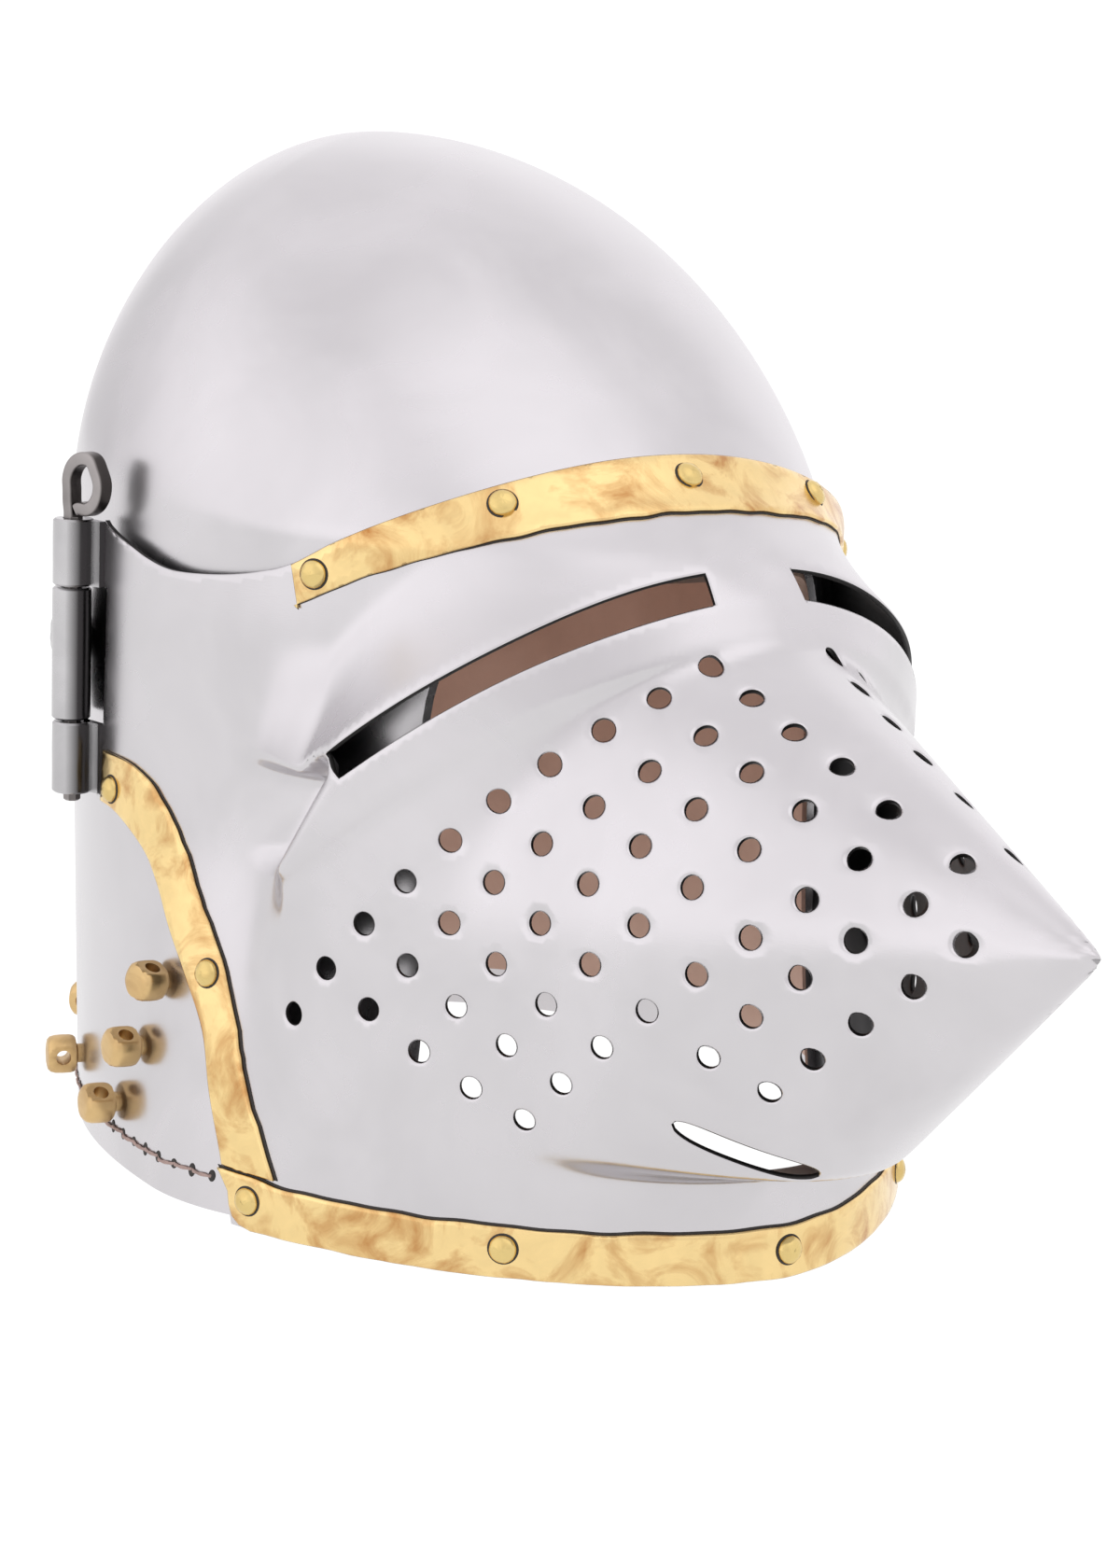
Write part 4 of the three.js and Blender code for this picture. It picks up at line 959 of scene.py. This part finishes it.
def skull_side(y, level):
    side, front, back, centre, front_power, back_power = skull_section(level)
    length = np.where(y < centre, centre - front, back - centre)
    power = np.where(y < centre, front_power, back_power)
    return side * (1 - (np.abs(y - centre) / length) ** power) ** (1 / power)


def swept_side(radius):
    """Skull's greatest half width on a circle about the pivot, which the arm has to clear."""
    widths = [
        skull_side(ARM.back + radius * math.cos(turn), ARM.level + radius * math.sin(turn))
        for turn in np.arange(0, 360, 15) * DEG
    ]
    return np.max(widths, axis=0)


def arm_side(y, level):
    radius = np.hypot(y - ARM.back, level - ARM.level)
    swing = ease((ARM.back - 10 - y) / 11)
    flat = swept_side(np.maximum(radius, ARM.flat)) + ARM.clearance
    return mix(flat, HINGE.outer - 4.6, swing)


def arm_plate(word, side):
    """A plate that lies on the skull round the pivot and swings out to the middle knuckle."""
    columns, rows = 36, 21
    near, far = HINGE.back + 0.5, ARM.back + ARM.radius
    y = np.linspace(near, far, columns)
    start = ARM.back - 1.0
    reach = np.clip((y - start) / (far - start), 0, 1)
    straight = mix(ARM.root, ARM.radius, ease((y - near - ARM.neck) / (start - near - ARM.neck)))
    half = np.where(y < start, straight, ARM.radius * np.sqrt(np.maximum(1 - reach**2, 0.0009)))
    middle = mix(0.5 * (HINGE.middle_top + HINGE.middle_bottom), ARM.level, ease((y - near) / 16))
    t = np.linspace(-1, 1, rows)
    yy = np.repeat(y[:, None], rows, 1)
    zz = middle[:, None] + half[:, None] * t[None, :]
    rim = np.maximum(np.abs(t)[None, :] ** 14, (reach[:, None] > 0.96) * 1.0)
    out = arm_side(yy, zz) + ARM.thickness - 0.35 * rim
    flat = [np.stack([-side * x, yy, zz], -1).reshape(-1, 3) for x in (out, arm_side(yy, zz))]
    faces, n = [], columns * rows
    for i in range(columns - 1):
        for j in range(rows - 1):
            a, b = i * rows + j, (i + 1) * rows + j
            faces += [(a, b, b + 1, a + 1), (n + a + 1, n + b + 1, n + b, n + a)]
    corner = (columns - 1) * rows
    for i in range(0, corner, rows):
        faces.append((i, n + i, n + i + rows, i + rows))
        a = i + rows - 1
        faces.append((a + rows, n + a + rows, n + a, a))
    for j in range(rows - 1):
        faces.append((j + 1, n + j + 1, n + j, j))
        a = corner + j
        faces.append((a, n + a, n + a + 1, a + 1))
    if side > 0:
        faces = [f[::-1] for f in faces]
    points = np.concatenate(flat)
    make_mesh(f"arm_plate_{word}", points, faces, [HINGE_STEEL], "visor_unit", "dark_steel", 40)


def swept(path, across, section):
    """A closed bar: section points (outward, across) carried along a path in one plane."""
    path = np.asarray(path, float)
    along = np.gradient(path, axis=0)
    along /= np.linalg.norm(along, axis=1, keepdims=True)
    out = np.cross(along, across)
    rings = [path[k] + section[:, :1] * out[k] + section[:, 1:] * across for k in range(len(path))]
    return np.concatenate(rings), ring_faces(len(path), len(section))


def rounded_section(width, height, corner, steps=4):
    points, half = [], np.array([width, height]) / 2 - corner
    for cx, cy, first in ((1, 1, 0), (-1, 1, 90), (-1, -1, 180), (1, -1, 270)):
        for angle in (first + 90 * np.arange(steps) / (steps - 1)) * DEG:
            points.append(half * [cx, cy] + corner * np.array([math.cos(angle), math.sin(angle)]))
    return np.array(points)


def hinge_pin(word, side, x, y):
    """A forged pin whose bar is bent into an eye above the knuckles."""
    middle = HINGE.top + PIN.middle
    turn = np.linspace(196, -104, 34) * DEG
    forward = PIN.back + PIN.reach * np.cos(turn) - 0.5 * np.exp(-(((turn / DEG) - 35) / 22) ** 2)
    level = middle + PIN.rise * np.sin(turn) + 0.4 * np.exp(-(((turn / DEG) - 60) / 25) ** 2)
    start = [(0.2, HINGE.top - 2.0), (0.3, HINGE.top + 1.5), (0.7, HINGE.top + 4.4)]
    loop, end = np.stack([-forward, level], 1), [(-2.4, HINGE.top + 2.35)]
    back, level = flowing(np.concatenate([start, loop[::3], end]), 4).T
    turn_out = -side * PIN.turn * DEG
    path = np.stack([x + back * math.sin(turn_out), y + back * math.cos(turn_out), level], 1)
    across = np.array([math.cos(turn_out), -math.sin(turn_out), 0.0])
    points, faces = swept(path, across, rounded_section(PIN.width, PIN.depth, 0.8))
    eye_piece = make_mesh(f"pin_eye_{word}", points, faces, [DARK_STEEL], f"{word}_pin", "dark_steel", 50)
    foot, radius = HINGE.bottom - PIN.foot, HINGE.pin
    profile = [(1.7, foot), (radius - 0.05, foot + 0.5), (radius, foot + 3.5), (radius, HINGE.top + 0.5)]
    tube(f"pin_shank_{word}", profile, x, y, DARK_STEEL, f"{word}_pin", 8, 20)
    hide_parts(f"hinge_pin_{word}")


def pivot_stud(word, side):
    """A turned stud that stands on the skull, passes through the arm and ends in a domed head."""
    foot = float(skull_side(np.array(ARM.back), np.array(ARM.level))) - 0.4
    arm = float(swept_side(np.array(ARM.flat))) + ARM.clearance
    seat = arm + ARM.thickness
    head = [(r, seat + 0.05 + h) for r, h in dome_profile(ARM.stud, 3.3)]
    washer = [(5.2, foot), (5.4, arm - 0.25), (2.1, arm - 0.15)]
    points, faces = turned(washer + [(2.1, seat)] + head, 28)
    place, out = np.array([0.0, ARM.back, ARM.level]), np.array([-side * 1.0, 0.0, 0.0])
    points = standing(points, place, out, np.array([0.0, 0.0, 1.0]))
    stud = make_mesh(f"pivot_stud_{word}", points, faces, [HINGE_STEEL], "skull_shell", "steel", 50)
    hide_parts(f"pivot_rivet_{word}")


for word, side in SIDES:
    x, y = -side * HINGE.outer, HINGE.back
    low, high = HINGE.middle_bottom - 0.6, HINGE.middle_top + 0.6
    upper = barrel_profile(high, HINGE.top, HINGE.radius)
    lower = barrel_profile(HINGE.bottom, low, HINGE.radius - 0.1)
    tube(f"upper_knuckle_{word}", upper, x, y, HINGE_STEEL, "visor_unit")
    tube(f"lower_knuckle_{word}", lower, x, y, HINGE_STEEL, "visor_unit")
    leaf(f"upper_leaf_{word}", side, high, HINGE.top - 0.3)
    leaf(f"lower_leaf_{word}", side, HINGE.bottom + 0.3, low)
    knuckle = barrel_profile(HINGE.middle_bottom, HINGE.middle_top, HINGE.radius - 0.3)
    middle = tube(f"middle_knuckle_{word}", knuckle, x - side * 0.15, y + 0.5, HINGE_STEEL, "visor_unit")
    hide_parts(f"hinge_arm_{word}")
    arm_plate(word, side)
    hinge_pin(word, side, x, y)
    pivot_stud(word, side)


# Vervelles
def vervelle(word, side, index):
    """A round block on a neck, flat where the wire's bore comes out."""
    bearings, levels = np.array(VERVELLES).T
    centres, outs, _ = skull.frame_at(side * bearings, levels)
    place, out = centres[index], outs[index]
    last = 2 if index <= 2 else len(VERVELLES) - 1
    wire = centres[min(index + 1, last)] - centres[max(index - 1, 0)]
    if index > 2:
        wire[2] = 0
    wire -= out * (wire @ out)
    wire /= np.linalg.norm(wire)
    across = np.cross(wire, out)
    neck = [(2.6, -0.2), (2.6, 0.9), (3.0, 1.2)]
    block_side = [(4.6, 1.5), (5.05, 2.0), (5.3, 3.0), (5.35, 5.0), (5.25, 7.0), (4.9, 8.2), (4.2, 8.9)]
    points, faces = turned(neck + block_side + [(3.0, 9.15), (1.0, 9.2)], 48)
    facet = 1 - 0.035 * np.abs(np.sin(np.arctan2(points[:, 1], points[:, 0]) * 3))
    points[:, :2] *= facet[:, None]
    points[:, 0] = np.clip(points[:, 0], -4.1, 4.1)
    local = points[:, :1] * wire + points[:, 1:2] * across + points[:, 2:3] * out + place
    if np.dot(np.cross(wire, across), out) < 0:
        faces = [f[::-1] for f in faces]
    block = make_mesh(f"vervelle_block_{word}_{index + 1}", local, faces, [OLD_BRASS])
    bore, bore_faces = turned([(2.0, -9.0), (2.0, 9.0)], 28)
    bore = bore[:, :1] * across + bore[:, 1:2] * out + bore[:, 2:3] * wire + place + out * 5.0
    carve(block, make_mesh("drill", bore, bore_faces, [OLD_BRASS]), 35, 0.35)
    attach(block, "skull_shell")
    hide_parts(f"vervelle_{word}_{index + 1}")


for word, side in SIDES:
    for index in range(len(VERVELLES)):
        vervelle(word, side, index)


# Stitches along the rear of the rim
def stitches():
    first, count = 77.5, 56
    holes = np.linspace(first, 360 - first, count)
    b = np.linspace(first, 360 - first, count * 14)
    phase = (b - first) / (holes[1] - holes[0])
    near = np.abs(phase - np.round(phase))
    stitch = np.floor(phase)
    level = 8.4 + 0.28 * np.sin(stitch * 2.4) + 0.35 * (phase % 1 - 0.5) * np.cos(stitch * 1.7)
    off = 0.42 - 0.75 * np.exp(-((near / 0.07) ** 2))
    for strand, (shift, radius) in enumerate(((0.2, 0.36), (-0.2, 0.32))):
        r = skull_reach(np.where(b > 180, 360 - b, b), level, 0.0) + off
        wave = shift * np.cos(phase * math.pi * 2 + strand)
        path, out = around(b, r, level + wave), around(b, np.ones_like(b), 0 * b)
        turn = np.arange(6) / 6 * 2 * math.pi
        rings = [path + radius * (math.cos(a) * out + math.sin(a) * np.array([0, 0, 1.0])) for a in turn]
        points = np.stack(rings, 1).reshape(-1, 3)
        faces = ring_faces(len(b), len(turn))
        piece = make_mesh(f"stitching_{strand + 1}", points, faces, [THREAD], "skull_shell", "thread")
        if strand == 0:
            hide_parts("lining_thread")
    # Dark discs at the stitch holes: painted shade standing in for the holes.
    marks, mark_faces = [], []
    for k, bearing in enumerate(holes):
        place, out, rise = spot_on(skull, bearing if bearing < 180 else bearing - 360, 8.5)
        ring, faces = turned([(1.15, 0.0), (1.1, 0.1), (0.1, 0.12)], 14)
        ring[:, 1] *= 1.35 + 0.25 * math.sin(k * 2.1)
        start = len(marks) * len(ring)
        marks.append(standing(ring, place, out, rise))
        mark_faces += [tuple(v + start for v in f) for f in faces]
    make_mesh("stitch_holes", np.concatenate(marks), mark_faces, [SHADE_AND_GRIME], "skull_shell", "dark_steel")


stitches()


# Stage, light and camera
floor_mesh = bpy.data.meshes.new("floor")
floor_mesh.from_pydata([(-6, -6, 0), (6, -6, 0), (6, 6, 0), (-6, 6, 0)], [], [(0, 1, 2, 3)])
floor = bpy.data.objects.new("floor", floor_mesh)
bpy.context.scene.collection.objects.link(floor)
floor_material, floor_tree, floor_shader = new_material("pale floor")
feed(floor_tree, floor_shader, {
    "Base Color": (0.07, 0.07, 0.07, 1), "Roughness": 0.9, "Specular IOR Level": 0.0,
    "Emission Color": (1, 1, 1, 1), "Emission Strength": 1.03,
})
floor_mesh.materials.append(floor_material)

# Soft lamps of the studio: azimuth from the front towards the left hand, height, breadth, brightness
LAMPS = [
    (-105, 14, 58, 0.26),
    (15, 62, 40, 0.32),
    (135, 4, 45, 0.18),
    (175, -12, 55, -0.26),
    (-18, -4, 34, -0.14),
    (-80, -4, 26, 0.13),
    (-140, 12, 22, -0.10),
    (-172, -24, 22, -0.16),
    (128, 10, 20, -0.10),
    (163, 10, 16, 0.14),
]
BACKDROP = 1.12


def studio_light():
    world = bpy.data.worlds.new("studio")
    bpy.context.scene.world = world
    world.use_nodes = True
    tree, total = world.node_tree, BACKDROP
    direction = add_node(tree, "TexCoord", {}).outputs["Generated"]
    for azimuth, height, breadth, gain in LAMPS:
        a, h = azimuth * DEG, height * DEG
        towards = (math.sin(a) * math.cos(h), -math.cos(a) * math.cos(h), math.sin(h))
        dot = add_node(tree, "VectorMath", {0: direction, 1: towards}, operation="DOT_PRODUCT")
        inputs = {"From Min": math.cos(breadth * DEG), "From Max": 1.0, "To Max": gain}
        inputs["Value"] = dot.outputs["Value"]
        lobe = add_node(tree, "MapRange", inputs, interpolation_type="SMOOTHSTEP").outputs["Result"]
        total = add_node(tree, "Math", {0: lobe, 1: total}).outputs["Value"]
    feed(tree, tree.nodes["Background"], {"Color": (1.0, 0.985, 1.0, 1), "Strength": total})


studio_light()

CAMERA = dict(focal=3159.466, azimuth=34.814, pitch=11.642, roll=2.384, x=-430.765, y=-645.646, z=256.891)


def look_at_photo():
    a, e, r = (CAMERA[k] * DEG for k in ("azimuth", "pitch", "roll"))
    look = np.array([math.sin(a) * math.cos(e), math.cos(a) * math.cos(e), -math.sin(e)])
    right = np.array([math.cos(a), -math.sin(a), 0.0])
    up = np.cross(right, look)
    turned_right = right * math.cos(r) + up * math.sin(r)
    turned_up = -right * math.sin(r) + up * math.cos(r)
    camera_data = bpy.data.cameras.new("camera")
    camera = bpy.data.objects.new("camera", camera_data)
    bpy.context.scene.collection.objects.link(camera)
    camera_data.sensor_width = 36.0
    camera_data.lens = CAMERA["focal"] / 1680 * 36.0
    camera_data.clip_start, camera_data.clip_end = 0.01, 50
    basis = Matrix((turned_right, turned_up, -look)).transposed().to_4x4()
    basis.translation = Vector((CAMERA["x"], CAMERA["y"] + SHIFT, CAMERA["z"])) / 1000
    camera.matrix_world = basis
    bpy.context.scene.camera = camera


look_at_photo()
bpy.context.scene.view_settings.view_transform = "Standard"
